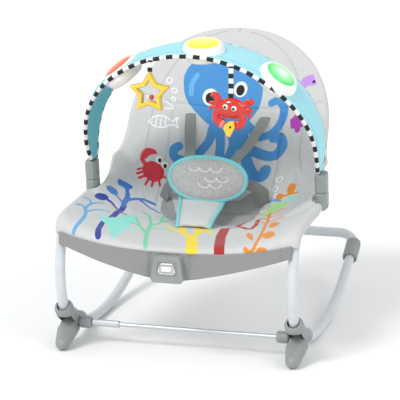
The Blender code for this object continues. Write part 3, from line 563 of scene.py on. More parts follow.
# moulded plastic pieces
hoodSizes = {"pivotY": 0.039, "pivotZ": 0.041, "round": 0.0178, "foot": 0.0158, "wall": 0.0139}
for sign, side in ((-1, "left"), (1, "right")):
    x = sign * frameSizes["half"]
    middle = x + pivotShift[0]

    def at(y, z, shift=0.0):
        return (middle + shift, y + pivotShift[1], z)

    # housing: one rounded shell over the ends of leg and rail, hollow for the foot
    hood = lumps(f"{side}FrontHousing", [
        ("bar", [at(-0.001, 0.0765), at(0.006, 0.0690), at(0.022, 0.0580), at(0.034, 0.0520)],
         hoodSizes["round"]),
        ("bar", [at(0.030, 0.0500), at(0.050, 0.0440), at(0.088, 0.0325)], 0.0150),
        ("ball", at(0.039, 0.0420), (hoodSizes["round"], 0.0200, 0.0190))], 0.0011, 8, greyPlastic)
    leg = [at(legY(z) - 0.0075 * max(0.0, (z - 0.070) / 0.02), z) for z in (0.070, 0.080, 0.090, 0.105)]
    mouth = slab("mouth", [(0.039, 0.0240), (0.060, 0.0290), (0.060, -0.010), (-0.040, -0.010),
                           (-0.040, 0.0575),
                           (-0.0085, 0.0620), (0.0100, 0.0650), (0.0270, 0.0600), (0.0400, 0.0590)],
                 x - hoodSizes["wall"], x + hoodSizes["wall"])
    carved(hood, tubeMesh("scoop", leg, 0.0112, greyPlastic, 24, ends=False), mouth)
    finishPiece(hood, "base", "grey_plastic", f"{side}_front_housing")
    # foot: a smooth drop with a flat sole
    drop = [("bar", [at(0.039, 0.0410), at(0.030, 0.0365)], hoodSizes["foot"])]
    for share in np.linspace(0, 1, 10):
        girth = 0.0205 - 0.0070 * share ** 1.3
        drop.append(("ball", at(0.026 - 0.037 * share, 0.0330 - 0.0195 * share),
                     (girth, 0.0165, 0.0170 - 0.0035 * share)))
    foot = lumps(f"{side}KickFoot", drop, 0.0009, 14, greyPlastic)
    shape = np.array([v.co for v in foot.data.vertices])
    low = np.clip((0.040 - shape[:, 2]) / 0.012, 0, 1)
    width = 0.0136 + 0.0080 * low
    shape[:, 0] = middle + np.clip(shape[:, 0] - middle, -width, width)
    shape[:, 2] = np.maximum(shape[:, 2], 0.0)
    foot.data.vertices.foreach_set("co", shape.ravel())
    finishPiece(foot, "kickstand", "grey_plastic", f"{side}_kick_foot")
    # a small black oval set into the grey foot: painted shade of its notch
    notchShadeMark = spun(f"{side}FootNotchShade", [(0.0002, 0.0006), (0.0012, 0.0005), (0.0017, -0.0002),
                                      (0.0002, -0.0010)],
                 at(-0.0240, 0.0185, 0.003), (0, -0.9, 0.35), blackPlastic, 16, (0.7, 1.6, 1))
    finishPiece(notchShadeMark, "kickstand", "grey_plastic")
    for part, voxel, rounds in (("rear_stop", 0.0009, 8), ("pivot_boss", 0.0009, 4),
                                ("recline_hub", 0.0012, 5),
                                ("toy_bar_bracket", 0.0007, 6)):
        finishPiece(softCopy(f"{side}_{part}", voxel, rounds), "base", "grey_plastic", f"{side}_{part}")
    finishPiece(softCopy(f"{side}_back_hub", 0.0012, 5), "backrest", "grey_plastic",
                f"{side}_back_hub")
    finishPiece(softCopy(f"{side}_toy_bar_plug", 0.0007, 6), "toy_bar", "grey_plastic",
                f"{side}_toy_bar_plug")
heads = []
for sign in (-1, 1):
    heads.append(((sign * 0.2317 + 0.0, *(np.array((0.1935, 0.250)) + (pivotShift[1], 0))), (sign, 0, 0)))
    heads.append(((sign * (frameSizes["half"] + hoodSizes["round"] - 0.0008), 0.039 + pivotShift[1],
                   0.0420), (sign, 0, 0)))
finishPiece(screwsAt("frameScrews", heads, 0.0016, 0.0036, screwMetal), "base", "steel")
print("moulded pieces done")

# seat cover: one padded cloth over the seat tubes and the back tube
coverSizes = {"lean": math.radians(32.8), "half": 0.1985, "straight": 0.105, "top": 0.324, "round": 2.2,
         "sleeve": 0.0118, "rows": 340, "columns": 221}
lean, rise = math.sin(coverSizes["lean"]), math.cos(coverSizes["lean"])


def backPoint(x, up, forward):
    return (x, 0.288 + up * lean - forward * rise, 0.258 + up * rise + forward * lean)


# per row: middle (y, z), side (x, y, z), lean of the face, sleeve radius, way out (x, up)
def coverRows():
    full = coverSizes["sleeve"]
    keys = [
        ((-0.0520, 0.2072), (0.2130, -0.0235, 0.2235), 74, full), ((-0.0505, 0.2120),
                                                                   (0.2138, -0.0205, 0.2320), 62, full),
        ((-0.0440, 0.2155), (0.2145, -0.0125, 0.2435), 44, full), ((-0.0300, 0.2170),
                                                                   (0.2150, 0.0010, 0.2520), 22, full),
        ((-0.0050, 0.2165), (0.2150, 0.0215, 0.2562), 6, full), ((0.0400, 0.2155),
                                                                 (0.2150, 0.0520, 0.2585), 2, full),
        ((0.0800, 0.2145), (0.2150, 0.0900, 0.2605), 2, full), ((0.1200, 0.2130),
                                                                (0.2150, 0.1250, 0.2618), 2, full),
        ((0.1460, 0.2100), (0.2150, 0.1540, 0.2630), 2, full), ((0.1600, 0.2085),
                                                                (0.2040, 0.1680, 0.2650), 3, 0.005),
        ((0.1900, 0.2065), (0.2010, 0.1930, 0.2670), 5, 0.005), ((0.2200, 0.2085),
                                                                 (0.2010, 0.2180, 0.2700), 12, 0.005),
        ((0.2430, 0.2170), (0.2010, 0.2400, 0.2780), 30, 0.005), ((0.2590, 0.2330),
                                                                  (0.2010, 0.2560, 0.2910), 46, 0.006),
        ((0.2710, 0.2530), (0.2000, 0.2740, 0.3080), 56, 0.008)]
    for up, upSide, half, forward, ring in ((0.012, 0.052, 0.1965, 0.0195, 0.010),
                                            (0.040, 0.078, 0.1880, 0.0150, 0.0125)):
        keys.append((backPoint(0, up, 0.0085)[1:], backPoint(half, upSide, forward), 57.2, ring))
    table = np.array([[*c, *s, a, r, 1.0, 0.0] for c, s, a, r in keys])
    angles = np.linspace(0.0, math.pi / 2, 26)
    for angle in angles:
        up = coverSizes["straight"] + (coverSizes["top"]
                                      - coverSizes["straight"]) * math.sin(angle) ** (2 / coverSizes["round"])
        x = coverSizes["half"] * max(0.0, math.cos(angle)) ** (2 / coverSizes["round"])
        share = (up - coverSizes["straight"]) / (coverSizes["top"] - coverSizes["straight"])
        outX = (x / coverSizes["half"]) ** 1.2 / coverSizes["half"]
        outUp = share ** 1.2 / (coverSizes["top"] - coverSizes["straight"])
        size = math.hypot(outX, outUp)
        outX, outUp = outX / size, outUp / size
        side = backPoint(max(0.0002, x - outX * full), up - outUp * full, full)
        dish = 0.0300 - 0.020 * (1 - (max(0, up) / 0.31) ** 3)
        low = 0.030 * (1 - math.sin(angle)) + 0.0004
        middle = backPoint(0, up - outUp * full - low, min(dish, full + 0.004 * math.cos(angle)))
        table = np.vstack([table, [*middle[1:], *side, 57.2, full, outX, outUp]])
    return smoothLine(table, coverSizes["rows"], 5)


rows = coverRows()
count = coverSizes["columns"]
across = np.linspace(-1, 1, count)
# more columns near the sleeves
across = np.sign(across) * (1 - (1 - np.abs(across)) ** 1.15)


def rowLoop(row):
    middle, side = row[0:2], row[2:5]
    tilt = math.radians(row[5])
    ring = row[6]
    face = np.array((0, -math.sin(tilt), math.cos(tilt)))
    upward = np.array((0, math.cos(tilt), math.sin(tilt)))
    soft = np.abs(across)
    top = np.stack([side[0] * across, middle[0] + (side[1] - middle[0]) * soft ** 2.1,
                    middle[1] + (side[2] - middle[1]) * soft ** 2.7], axis=1)
    turns = np.radians(np.linspace(0, 205, 11))[1:]
    outward = np.array((row[7], 0, 0)) + upward * row[8]
    core = side - face * ring
    sleeve = core + ring * (np.outer(np.cos(turns), face) + np.outer(np.sin(turns), outward))
    mirror = np.array((-1, 1, 1))
    share = np.linspace(1, -1, 28)[1:-1]
    below = np.array((0, *middle)) - face * 0.008
    end = sleeve[-1]
    lining = np.stack([end[0] * share, below[1] + (end[1] - below[1]) * np.abs(share) ** 2.1,
                       below[2] + (end[2] - below[2]) * np.abs(share) ** 2.7], axis=1)
    return np.vstack([top, sleeve, lining, (sleeve * mirror)[::-1]])


cover = np.array([rowLoop(row) for row in rows])
coverRun = runLength(np.stack([np.zeros(len(rows)), rows[:, 0], rows[:, 1]], axis=1))
topCover = cover[:, :count]
coverX = topCover[:, :, 0]
coverW = np.repeat(coverRun[:, None], count, axis=1)
edge = np.minimum(1.0, (1 - np.abs(across)) / 0.10)[None, :] * np.minimum(1.0,
        np.arange(len(rows)) / 14)[:, None]
hip = np.exp(-((coverW - 0.325) / 0.075) ** 2) * np.exp(-((np.abs(coverX) - 0.115) / 0.06) ** 2)
puff = 0.0019 * bumps(topCover, (22, 22, 22), 1.0)
creases = 0.0028 * hip * bumps(np.stack([coverX * 95 + coverW * 40, coverW * 16, coverW * 0], axis=-1),
                               (1, 1, 1), 5.0)
fine = 0.0005 * bumps(np.stack([coverX * 120, coverW * 55, coverW * 0], axis=-1), (1, 1, 1), 9.0)
backward = (coverW > 0.30) & (coverW < 0.50)
seam = np.where(backward, np.exp(-((np.abs(coverX) - 0.108) / 0.0022) ** 2), 0)
seam = np.maximum(seam, np.exp(-((coverW - 0.512) / 0.0022) ** 2) * (np.abs(coverX) < 0.19))
seam = np.maximum(seam, np.exp(-((coverW - 0.292) / 0.0025) ** 2) * (np.abs(coverX) < 0.12))
heights = (puff + creases + fine) * edge - 0.0030 * seam
top = pushed(topCover, heights)
cover[:, :count] = top

# printed pictures in millimetres across the cover and along it from its front edge
printShapes = {
    "heather": [
        ('shape', [(21, 241), (4, 319), (49, 326), (84, 352), (105, 336), (95, 312), (85, 252), (63,
        205)]),
        ('shape', [(-97, 282), (-96, 315), (-81, 313), (-54, 241), (-75, 243)]),
    ],
    "octopus": [
        ('shape', [(-94, 548), (-95, 577), (-77, 606), (-37, 625), (13, 626), (46, 602), (62, 561),
        (62, 520), (46, 489), (27, 468), (-4, 463), (-35, 477), (-67, 503), (-85, 523)]),
        ('line', 9, [(-25, 468), (-28, 445), (-40, 424), (-61, 401), (-90, 400), (-96, 415), (-87,
        425)]),
        ('line', 9, [(-10, 467), (-5, 436), (-3, 399)]), ('line', 9, [(12, 468), (20, 438), (11, 400)]),
        ('line', 10, [(32, 469), (49, 434), (97, 413), (115, 430), (108, 452), (98, 451)]),
        ('line', 8, [(43, 479), (68, 455), (93, 463), (108, 486), (109, 514), (96, 528), (85, 524)]),
        ('line', 11, [(31, 459), (49, 408), (66, 378), (84, 373), (89, 385)]),
    ],
    "octopusLight": [
        ('line', 5, [(-70, 575), (-78, 556), (-77, 535)]),
    ],
    "white": [
        ('blob', (-38, 532), 15, 17), ('blob', (20, 551), 13, 16),
        ('line', 1.1, [(-155, 459), (-143, 475), (-123, 480), (-107, 474), (-97, 483), (-98, 472),
        (-93, 461), (-106, 467), (-122, 457), (-140, 454), (-155, 459)]),
        ('line', 0.9, [(-139, 473), (-139, 455)]), ('line', 0.9, [(-130, 476), (-130, 457)]),
        ('line', 0.9, [(-121, 477), (-120, 461)]), ('blob', (-148, 461), 2, 2),
        ('ring', (-125, 556), 6, 1), ('ring', (-112, 537), 5, 1), ('ring', (-111, 519), 4, 1),
        ('line', 1.0, [(-133, 514), (-119, 508), (-109, 500), (-128, 496)]), ('ring', (120, 360), 6, 1),
        ('ring', (116, 340), 5, 1), ('ring', (117, 327), 3, 1), ('blob', (-122, 387), 6, 7),
        ('blob', (-109, 381), 6, 7),
    ],
    "black": [
        ('blob', (-38, 530), 9, 11), ('blob', (20, 549), 8, 11), ('blob', (160, 561), 3, 3),
        ('blob', (-120, 387), 3.4, 4.2), ('blob', (-108, 380), 3.4, 4.2),
    ],
    "purple": [
        ('blob', (155, 565), 20, 12), ('line', 5, [(146, 558), (140, 551)]),
    ],
    "magenta": [
        ('line', 5, [(141, 461), (134, 490)]), ('line', 4, [(131, 470), (128, 485)]),
        ('line', 4, [(148, 470), (144, 488)]),
    ],
    "crab": [
        ('shape', [(-108, 352), (-119, 340), (-135, 339), (-146, 348), (-148, 367), (-136, 380),
        (-120, 380), (-109, 370)]),
        ('line', 4.5, [(-143, 367), (-153, 375), (-154, 385)]),
        ('shape', [(-156, 378), (-157, 390), (-147, 402), (-132, 404), (-128, 397), (-135, 394),
        (-142, 389), (-147, 381)]),
        ('line', 2.0, [(-144, 357), (-156, 348)]), ('line', 2.0, [(-144, 349), (-156, 339)]),
        ('line', 2.0, [(-139, 343), (-151, 333)]), ('line', 2.0, [(-132, 340), (-137, 326)]),
        ('line', 2.0, [(-124, 340), (-125, 328)]), ('line', 2.0, [(-114, 347), (-110, 336)]),
        ('line', 2.0, [(-110, 359), (-101, 354)]), ('line', 2, [(-123, 375), (-122, 384)]),
        ('line', 2, [(-114, 373), (-110, 379)]),
    ],
    "skyBlue": [
        ('line', 3.2, [(-186, 6), (-184, 16), (-182, 36), (-185, 84), (-193, 111)]),
        ('line', 2.8, [(-193, 111), (-202, 122), (-209, 110)]),
        ('line', 2.2, [(-193, 111), (-195, 134), (-192, 160), (-182, 189)]),
        ('line', 2.4, [(-193, 150), (-202, 167), (-211, 158)]),
        ('line', 2.0, [(-189, 104), (-178, 140), (-161, 160)]),
        ('line', 2.4, [(110, 317), (118, 317), (130, 310)]),
    ],
    "navy": [
        ('line', 5, [(-148, 124), (-150, 178), (-151, 221)]),
        ('line', 2.2, [(-157, 197), (-170, 208), (-181, 209)]),
        ('shape', [(-180, 214), (-183, 207), (-189, 197), (-197, 193), (-202, 197), (-201, 207),
        (-193, 213), (-185, 217)]),
        ('line', 2.2, [(-146, 185), (-130, 179), (-113, 167)]),
        ('shape', [(-155, 88), (-148, 89), (-142, 45), (-133, 11), (-143, 9), (-150, 37)]),
    ],
    "blue": [
        ('line', 2.6, [(-154, 227), (-165, 238), (-176, 247)]),
        ('shape', [(-173, 253), (-176, 241), (-183, 236), (-190, 239), (-194, 250), (-191, 263),
        (-184, 269), (-177, 266)]),
        ('shape', [(-185, 298), (-182, 306), (-159, 309), (-159, 301), (-162, 293), (-154, 275),
        (-149, 218), (-156, 216), (-163, 271), (-170, 292), (-181, 290)]),
        ('line', 3.0, [(-157, 248), (-146, 279), (-130, 291), (-111, 292)]),
        ('line', 2.4, [(-138, 285), (-115, 273), (-92, 262)]),
    ],
    "aqua": [
        ('shape', [(-170, 116), (-154, 123), (-140, 152), (-129, 187), (-108, 175), (-110, 110),
        (-108, 52), (-110, 21), (-120, 27), (-138, 76), (-153, 91)]),
        ('line', 3, [(-114, 108), (-91, 93)]), ('line', 3, [(145, 305), (156, 301), (164, 303)]),
        ('line', 3.4, [(143, 309), (150, 313)]),
    ],
    "green": [
        ('line', 4.2, [(-46, 8), (-68, 92), (-79, 157)]),
        ('line', 3, [(-64, 79), (-93, 132), (-112, 145)]),
        ('line', 3, [(-79, 157), (-98, 213), (-117, 236)]),
        ('line', 3, [(-79, 157), (-69, 183), (-60, 235)]), ('line', 2.6, [(-69, 183), (-82, 251)]),
        ('line', 2.6, [(-72, 127), (-53, 141), (-29, 126)]), ('line', 2.4, [(-93, 132), (-116, 185)]),
    ],
    "yellow": [
        ('line', 10, [(40, 4), (20, 80)]), ('line', 6, [(20, 80), (-7, 122), (-36, 149)]),
        ('line', 6, [(20, 80), (19, 139), (33, 173)]), ('line', 5, [(-7, 122), (-29, 190)]),
        ('line', 5, [(19, 122), (-9, 225)]), ('line', 4, [(26, 150), (46, 125)]),
        ('line', 4, [(-36, 149), (-50, 170)]),
    ],
    "darkRed": [
        ('line', 9, [(89, 3), (68, 103), (58, 174)]),
        ('line', 4, [(58, 174), (77, 190), (111, 153), (103, 247)]),
        ('line', 2.6, [(77, 190), (81, 237)]), ('line', 2.2, [(68, 188), (75, 217)]),
    ],
    "orange": [
        ('line', 3, [(141, 1), (150, 13), (147, 74), (128, 209), (117, 281)]),
        ('shape', [(172, 2), (170, 0), (163, 0), (156, 0), (153, 3), (155, 6), (161, 7), (169, 5)]),
        ('shape', [(175, 53), (177, 34), (171, 27), (162, 33), (154, 52), (151, 75), (156, 89), (167,
        77)]),
        ('shape', [(162, 154), (164, 136), (160, 126), (151, 135), (144, 149), (142, 166), (146, 178),
        (154, 175)]),
        ('shape', [(139, 1), (136, 1), (132, 4), (130, 8), (131, 12), (135, 11), (139, 7), (141, 4)]),
        ('shape', [(139, 42), (135, 45), (125, 68), (114, 105), (110, 124), (115, 120), (126, 98),
        (136, 59)]),
        ('line', 1.8, [(134, 208), (145, 212), (156, 211)]),
        ('line', 1.8, [(129, 236), (139, 249), (150, 247)]),
        ('line', 1.8, [(123, 270), (135, 281), (145, 282)]),
        ('line', 1.8, [(120, 290), (134, 296), (143, 298)]),
        ('line', 1.8, [(129, 200), (113, 214), (104, 208)]),
        ('line', 1.8, [(124, 225), (105, 258), (96, 259)]),
        ('line', 1.8, [(119, 259), (103, 282), (93, 284)]),
        ('shape', [(152, 340), (156, 333), (155, 325), (150, 320), (143, 322), (140, 330), (141, 337),
        (145, 342)]),
        ('shape', [(133, 323), (133, 318), (131, 314), (125, 314), (121, 319), (120, 325), (123, 328),
        (128, 328)]),
        ('line', 2, [(135, 321), (148, 320), (162, 317)]),
    ],
    "lime": [
        ('shape', [(98, 277), (110, 303), (128, 307), (145, 303), (135, 287), (119, 277)]),
    ],
}


# points of a smooth curve through the given ones, for a printed outline or stroke
def softened(points, closed):
    points = np.array(points, float)
    if len(points) < 3:
        return points
    if closed:
        padded = np.vstack([points[-1:], points, points[:2]])
    else:
        padded = np.vstack([2 * points[0] - points[1], points, 2 * points[-1] - points[-2]])
    curve = []
    for a, b, c, d in zip(padded, padded[1:], padded[2:], padded[3:]):
        for t in (0.0, 0.25, 0.5, 0.75):
            curve.append(0.5 * (2 * b + (c - a) * t + (2 * a - 5 * b + 4 * c - d) * t * t
                                + (3 * b - a - 3 * c + d) * t ** 3))
    if not closed:
        curve.append(points[-1])
    return np.array(curve)


# signed distance in millimetres from cover points to one printed shape
def distanceTo(kind, item, x, w):
    if kind == "line":
        radius, points = item
        points = softened(points, False)
        best = np.full(x.shape, 1e9)
        for (ax, aw), (bx, bw) in zip(points, points[1:]):
            dx, dw = bx - ax, bw - aw
            share = np.clip(((x - ax) * dx + (w - aw) * dw) / max(1e-6, dx * dx + dw * dw), 0, 1)
            best = np.minimum(best, np.hypot(x - ax - share * dx, w - aw - share * dw))
        return best - radius
    if kind == "blob":
        (cx, cw), rx, rw = item
        return (np.hypot((x - cx) / rx, (w - cw) / rw) - 1) * min(rx, rw)
    if kind == "ring":
        (cx, cw), radius, thick = item
        return np.abs(np.hypot(x - cx, w - cw) - radius) - thick
    points = softened(item[0], True)
    best = np.full(x.shape, 1e9)
    inside = np.zeros(x.shape, bool)
    for (ax, aw), (bx, bw) in zip(points, np.roll(points, -1, axis=0)):
        dx, dw = bx - ax, bw - aw
        share = np.clip(((x - ax) * dx + (w - aw) * dw) / max(1e-6, dx * dx + dw * dw), 0, 1)
        best = np.minimum(best, np.hypot(x - ax - share * dx, w - aw - share * dw))
        crosses = (aw > w) != (bw > w)
        inside ^= crosses & (x < ax + (w - aw) * dx / (dw if dw else 1e-9))
    return np.where(inside, -best, best)


printColours = {
    "heather": (0.33, 0.33, 0.33), "octopus": (0.065, 0.265, 0.585), "octopusLight": (0.13, 0.40, 0.72),
    "white": (0.86, 0.86, 0.86), "black": (0.015, 0.012, 0.015), "purple": (0.50, 0.27, 0.68),
    "magenta": (0.42, 0.05, 0.42), "crab": (0.62, 0.03, 0.055), "skyBlue": (0.13, 0.37, 0.66),
    "navy": (0.025, 0.05, 0.30), "blue": (0.04, 0.17, 0.52), "aqua": (0.26, 0.72, 0.62),
    "green": (0.18, 0.60, 0.38), "yellow": (0.88, 0.66, 0.03), "darkRed": (0.38, 0.025, 0.02),
    "orange": (0.76, 0.25, 0.03), "lime": (0.38, 0.66, 0.25)}

coverSize = cover.shape[:2]
mmX, mmW = coverX * 1000, coverW * 1000
printed = {}
for key, items in printShapes.items():
    field = np.full(topCover.shape[:2], 99.0)
    for kind, *item in items:
        corners = np.array(item[-1] if kind in ("line", "shape") else item[:1], float)
        low, high = corners.min(axis=0) - 100, corners.max(axis=0) + 100
        near = (mmX > low[0]) & (mmX < high[0]) & (mmW > low[1]) & (mmW < high[1])
        field[near] = np.minimum(field[near], distanceTo(kind, item, mmX[near], mmW[near]))
    whole = np.full(coverSize, 99.0)
    whole[:, :count] = field
    printed["print_" + key] = whole
order = ["heather", "octopus", "octopusLight", "crab", "purple", "magenta", "skyBlue", "navy", "blue",
         "aqua", "green", "yellow", "darkRed", "orange", "lime", "white", "black"]
printedCloth = cloth("printed cover cloth", (0.565, 0.565, 0.565))
lastShade = baseSocket(printedCloth).links[0].from_socket
for key in order:
    colour = printColours[key]
    reader = addNode(printedCloth, "ShaderNodeAttribute", attribute_name="print_" + key)
    mask = rampOf(printedCloth, reader.outputs["Fac"], 0.45, -0.15)
    streaky = mixColour(printedCloth, rampOf(printedCloth, noiseOf(printedCloth, 500.0), 0.3, 0.7),
                        tuple(c * 0.92 for c in colour), tuple(min(1, c * 1.07) for c in colour))
    lastShade = mixColour(printedCloth, mask, lastShade, streaky)
wire(printedCloth, lastShade, baseSocket(printedCloth))

seatCover = meshFrom("seatCover", (cover + pivotShift).reshape(-1, 3), gridFaces(*coverSize, wrap=True),
                     printedCloth, True, printed)


# closes both open ends of a body made of rings with one face each
def closeEnds(body, number):
    data = body.data
    total = len(data.vertices)
    merged = bpy.data.meshes.new(data.name + "Closed")
    faces = [tuple(p.vertices) for p in data.polygons]
    faces += [tuple(range(number))[::-1], tuple(range(total - number, total))]
    merged.from_pydata([tuple(v.co) for v in data.vertices], [], faces)
    merged.polygons.foreach_set("use_smooth", [True] * len(faces))
    merged.materials.append(data.materials[0])
    for layer in data.attributes:
        if layer.name.startswith("print_"):
            values = np.zeros(len(data.vertices), np.float32)
            layer.data.foreach_get("value", values)
            merged.attributes.new(layer.name, "FLOAT", "POINT").data.foreach_set("value", values)
    body.data = merged


closeEnds(seatCover, coverSize[1])
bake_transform(seatCover, "base", "backrest", (0, -0.035, 0.215), (0, 0.045, 0.290))
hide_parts("seat_pad", "back_pad")
print("seat cover done")

# binding along the front edge of the cover, where the grey panel is sewn on
frontEdge = cover[0, :count] + pivotShift
frontLine = smoothLine(frontEdge[::6] + np.array((0, -0.0008, -0.0005)), 160)
finishPiece(tubeMesh("frontEdgeBinding", frontLine, 0.0016, darkCloth, 10), "base", "dark_cloth")

# grey front panel
panelSizes = {"half": 0.2075, "top": 0.2078, "rise": 0.0180, "low": 0.1585, "lift": 0.0455,
              "unit": 0.0350}
angles = np.radians(np.linspace(0, 80, 9))[1:]
skirtRows = []
for share in np.linspace(0, 1, 40):
    x = np.linspace(-1, 1, 161)
    y = -0.0520 + 0.0245 * x * x - 0.0008 - 0.004 * share * (1 - x * x)
    topZ = panelSizes["top"] + panelSizes["rise"] * np.abs(x) ** 2.7
    lowZ = panelSizes["low"] + panelSizes["lift"] * np.abs(x) ** 1.35
    z = topZ + (lowZ - topZ) * share
    row = np.stack([x * panelSizes["half"], y, z], axis=1)
    turnEnd = np.stack([panelSizes["half"] + 0.007 * np.sin(angles), y[-1] + 0.007 * (1 - np.cos(angles)),
                        np.full(len(angles), z[-1])], axis=1)
    skirtRows.append(np.vstack([(turnEnd * np.array((-1, 1, 1)))[::-1], row, turnEnd]))
skirt = np.array(skirtRows)
lines = np.stack([skirt[:, :, 0] * 60, skirt[:, :, 2] * 14, skirt[:, :, 0] * 0], axis=-1)
swell = 0.0013 * bumps(lines, (1, 1, 1), 3.0) + 0.0010 * bumps(skirt, (26, 26, 26), 4.0)
fold = np.exp(-((np.abs(skirt[:, :, 0]) - panelSizes["unit"]) / 0.0030) ** 2) * 0.0022
side = np.exp(-((np.abs(skirt[:, :, 0]) - 0.198) / 0.0016) ** 2) * 0.0014
skirt = pushed(skirt, -(swell - fold - side))
frontPanel = gridMesh("frontPanel", skirt + pivotShift, darkCloth)
thick = frontPanel.modifiers.new("thickness", "SOLIDIFY")
thick.thickness = 0.0022
thick.offset = 0.0
frontPanel.data = bpy.data.meshes.new_from_object(
    frontPanel.evaluated_get(bpy.context.evaluated_depsgraph_get()))
frontPanel.modifiers.clear()
finishPiece(frontPanel, "base", "dark_cloth", "front_skirt")
hemLine = smoothLine(skirt[-1, ::6] + pivotShift, 150)
finishPiece(tubeMesh("frontPanelHem", hemLine, 0.0017, darkCloth, 10), "base", "dark_cloth")
print("front panel done")

# the bow tube follows the middle of the panel
bowX = np.linspace(-1, 1, 90)
bow = np.stack([bowX * 0.2040, -0.0420 + 0.0260 * bowX ** 2, 0.1860 + 0.0260 * np.abs(bowX) ** 1.8],
               axis=1)
finishPiece(tubeMesh("frontBowTube", bow + pivotShift, 0.0062, whitePaint, 20, (0, 0, 1)), "base",
            "white_paint",
            "front_bow_tube")

# vibration unit
finishPiece(softCopy("vibration_cover", 0.0006, 10), "base", "grey_plastic", "vibration_cover")
finishPiece(softCopy("vibration_housing", 0.0008, 6), "base", "grey_plastic", "vibration_housing")
buttonSizes = {"wide": 0.0125, "tall": 0.0070, "line": 0.0006}
button = softCopy("vibration_button", 0.0005, 6, whitePlastic)
finishPiece(button, "start_button", "white_plastic", "vibration_button")
centreZ, faceY = 0.1835, -0.3219
# two grey ring lines on the white button: painted shade along its ribbed outlines
for index, grow in enumerate((1.0, 0.78)):
    wide, tall = buttonSizes["wide"] * grow, buttonSizes["tall"] * grow
    loop = [(-wide * 0.9, tall), (-wide, tall * 0.6), (-wide, -tall * 0.5), (-wide * 0.85, -tall),
            (wide * 0.85, -tall), (wide, -tall * 0.5), (wide, tall * 0.6), (wide * 0.9, tall),
            (-wide * 0.9, tall)]
    path = smoothLine(np.array([(x, faceY, centreZ + z) for x, z in loop]), 60)
    finishPiece(tubeMesh(f"buttonLine{index}", path, buttonSizes["line"], stitchAndRibShade, 6), "start_button",
                "white_plastic")

rim = [(-0.0150, 0.0125), (-0.0170, 0.0085), (-0.0178, -0.0080), (-0.0160, -0.0112), (0.0160, -0.0112),
       (0.0178, -0.0080), (0.0170, 0.0085), (0.0150, 0.0125), (-0.0150, 0.0125)]
rimPath = smoothLine(np.array([(x, -0.3199, centreZ + z) for x, z in rim]), 90)
finishPiece(tubeMesh("buttonRim", rimPath, 0.0011, greyPlastic, 8), "base", "grey_plastic")

# oval crotch guard
guardSizes = {"wide": 0.0738, "tall": 0.0415, "puff": 0.0090, "piping": 0.0040,
              "middle": (0.0010, 0.2005, 0.2862)}
reach = np.linspace(0, 1, 60)
turnAngles = np.linspace(0, 2 * np.pi, 180, endpoint=False)
guard = []
for face in (-1, 1):
    for share in (reach if face < 0 else reach[::-1]):
        puffed = guardSizes["puff"] * (1 - share ** 3) ** 0.6
        guard.append(np.stack([guardSizes["wide"] * share * np.sign(np.cos(turnAngles))
                               * np.abs(np.cos(turnAngles)) ** 0.92,
                               np.full(180, face * puffed) + 0.004 * (share * np.cos(turnAngles)) ** 2,
                               guardSizes["tall"] * share * np.sign(np.sin(turnAngles))
                               * np.abs(np.sin(turnAngles)) ** 0.92],
                              axis=1))
guard = np.array(guard)
guardX, guardZ = guard[:, :, 0] * 1000, guard[:, :, 2] * 1000
wave = np.full(guardX.shape, 99.0)
for startX, startZ, number, span in ((-34, 24, 3, 21), (-2, 6, 2, 22), (-15, -6, 2, 22)):
    for index in range(number):
        cx = startX + span * (index + 0.5)
        arc = np.abs(np.hypot((guardX - cx) / 1.0, (guardZ - startZ) / 0.8) - span / 2) - 0.85
        wave = np.minimum(wave, np.where(guardZ < startZ + 0.5, arc, 99.0))
wave[60:] = 99.0
guard = guard + 0.0007 * bumps(guard, (60, 60, 60), 2.0)[..., None] * np.array((0, 1, 0))
guardCloth = cloth("printed guard cloth", (0.47, 0.47, 0.475), 0.20)
waveMask = rampOf(guardCloth, addNode(guardCloth, "ShaderNodeAttribute",
                                      attribute_name="wave").outputs["Fac"], 0.2, -0.2)
wire(guardCloth, mixColour(guardCloth, waveMask, baseSocket(guardCloth).links[0].from_socket,
                           (0.82, 0.82, 0.82)),
     baseSocket(guardCloth))
crotchGuard = gridMesh("crotchGuard", guard + np.array(guardSizes["middle"]) + pivotShift, guardCloth,
                       True, {"wave": wave})
finishPiece(crotchGuard, "base", "grey_cloth", "crotch_pad")
rimAngles = np.linspace(0, 2 * np.pi, 161)
rim = np.stack([guardSizes["wide"] * np.sign(np.cos(rimAngles)) * np.abs(np.cos(rimAngles)) ** 0.92,
                0.004 * np.cos(rimAngles) ** 2,
                guardSizes["tall"] * np.sign(np.sin(rimAngles)) * np.abs(np.sin(rimAngles)) ** 0.92], axis=1)
finishPiece(tubeMesh("crotchGuardBinding", rim + np.array(guardSizes["middle"]) + pivotShift,
                     (guardSizes["piping"], guardSizes["piping"]),
                     tealBinding, 14, (0, 1, 0), False), "base", "teal_cloth")

# crotch strap
strapSizes = {"base": 0.0305, "top": 0.0440, "thick": 0.0045, "binding": 0.0032}
strapLine = smoothLine(np.array([(0, 0.108, 0.2160), (0, 0.122, 0.2235), (0, 0.145, 0.2290),
                                 (0, 0.170, 0.2335),
                                 (0, 0.192, 0.2385), (0, 0.208, 0.2470), (0, 0.2130, 0.2620)]), 50)
strapRows, leftEdge, rightEdge = [], [], []
for index, point in enumerate(strapLine):
    share = index / 49
    half = strapSizes["base"] + (strapSizes["top"] - strapSizes["base"]) * share
    x = np.linspace(-1, 1, 31)
    row = np.stack([x * half - 0.012 * share, np.full(31, point[1]) - 0.003 * (1 - x * x) * share,
                    point[2] + 0.004 * (1 - x ** 4)], axis=1)
    strapRows.append(row)
    leftEdge.append(row[0])
    rightEdge.append(row[-1])
strap = np.array(strapRows)
strap = pushed(strap, 0.0009 * bumps(strap, (70, 70, 70), 6.0))
crotchStrap = gridMesh("crotchStrap", strap + pivotShift, greyCloth)
thick = crotchStrap.modifiers.new("thickness", "SOLIDIFY")
thick.thickness = strapSizes["thick"]
crotchStrap.data = bpy.data.meshes.new_from_object(
    crotchStrap.evaluated_get(bpy.context.evaluated_depsgraph_get()))
crotchStrap.modifiers.clear()
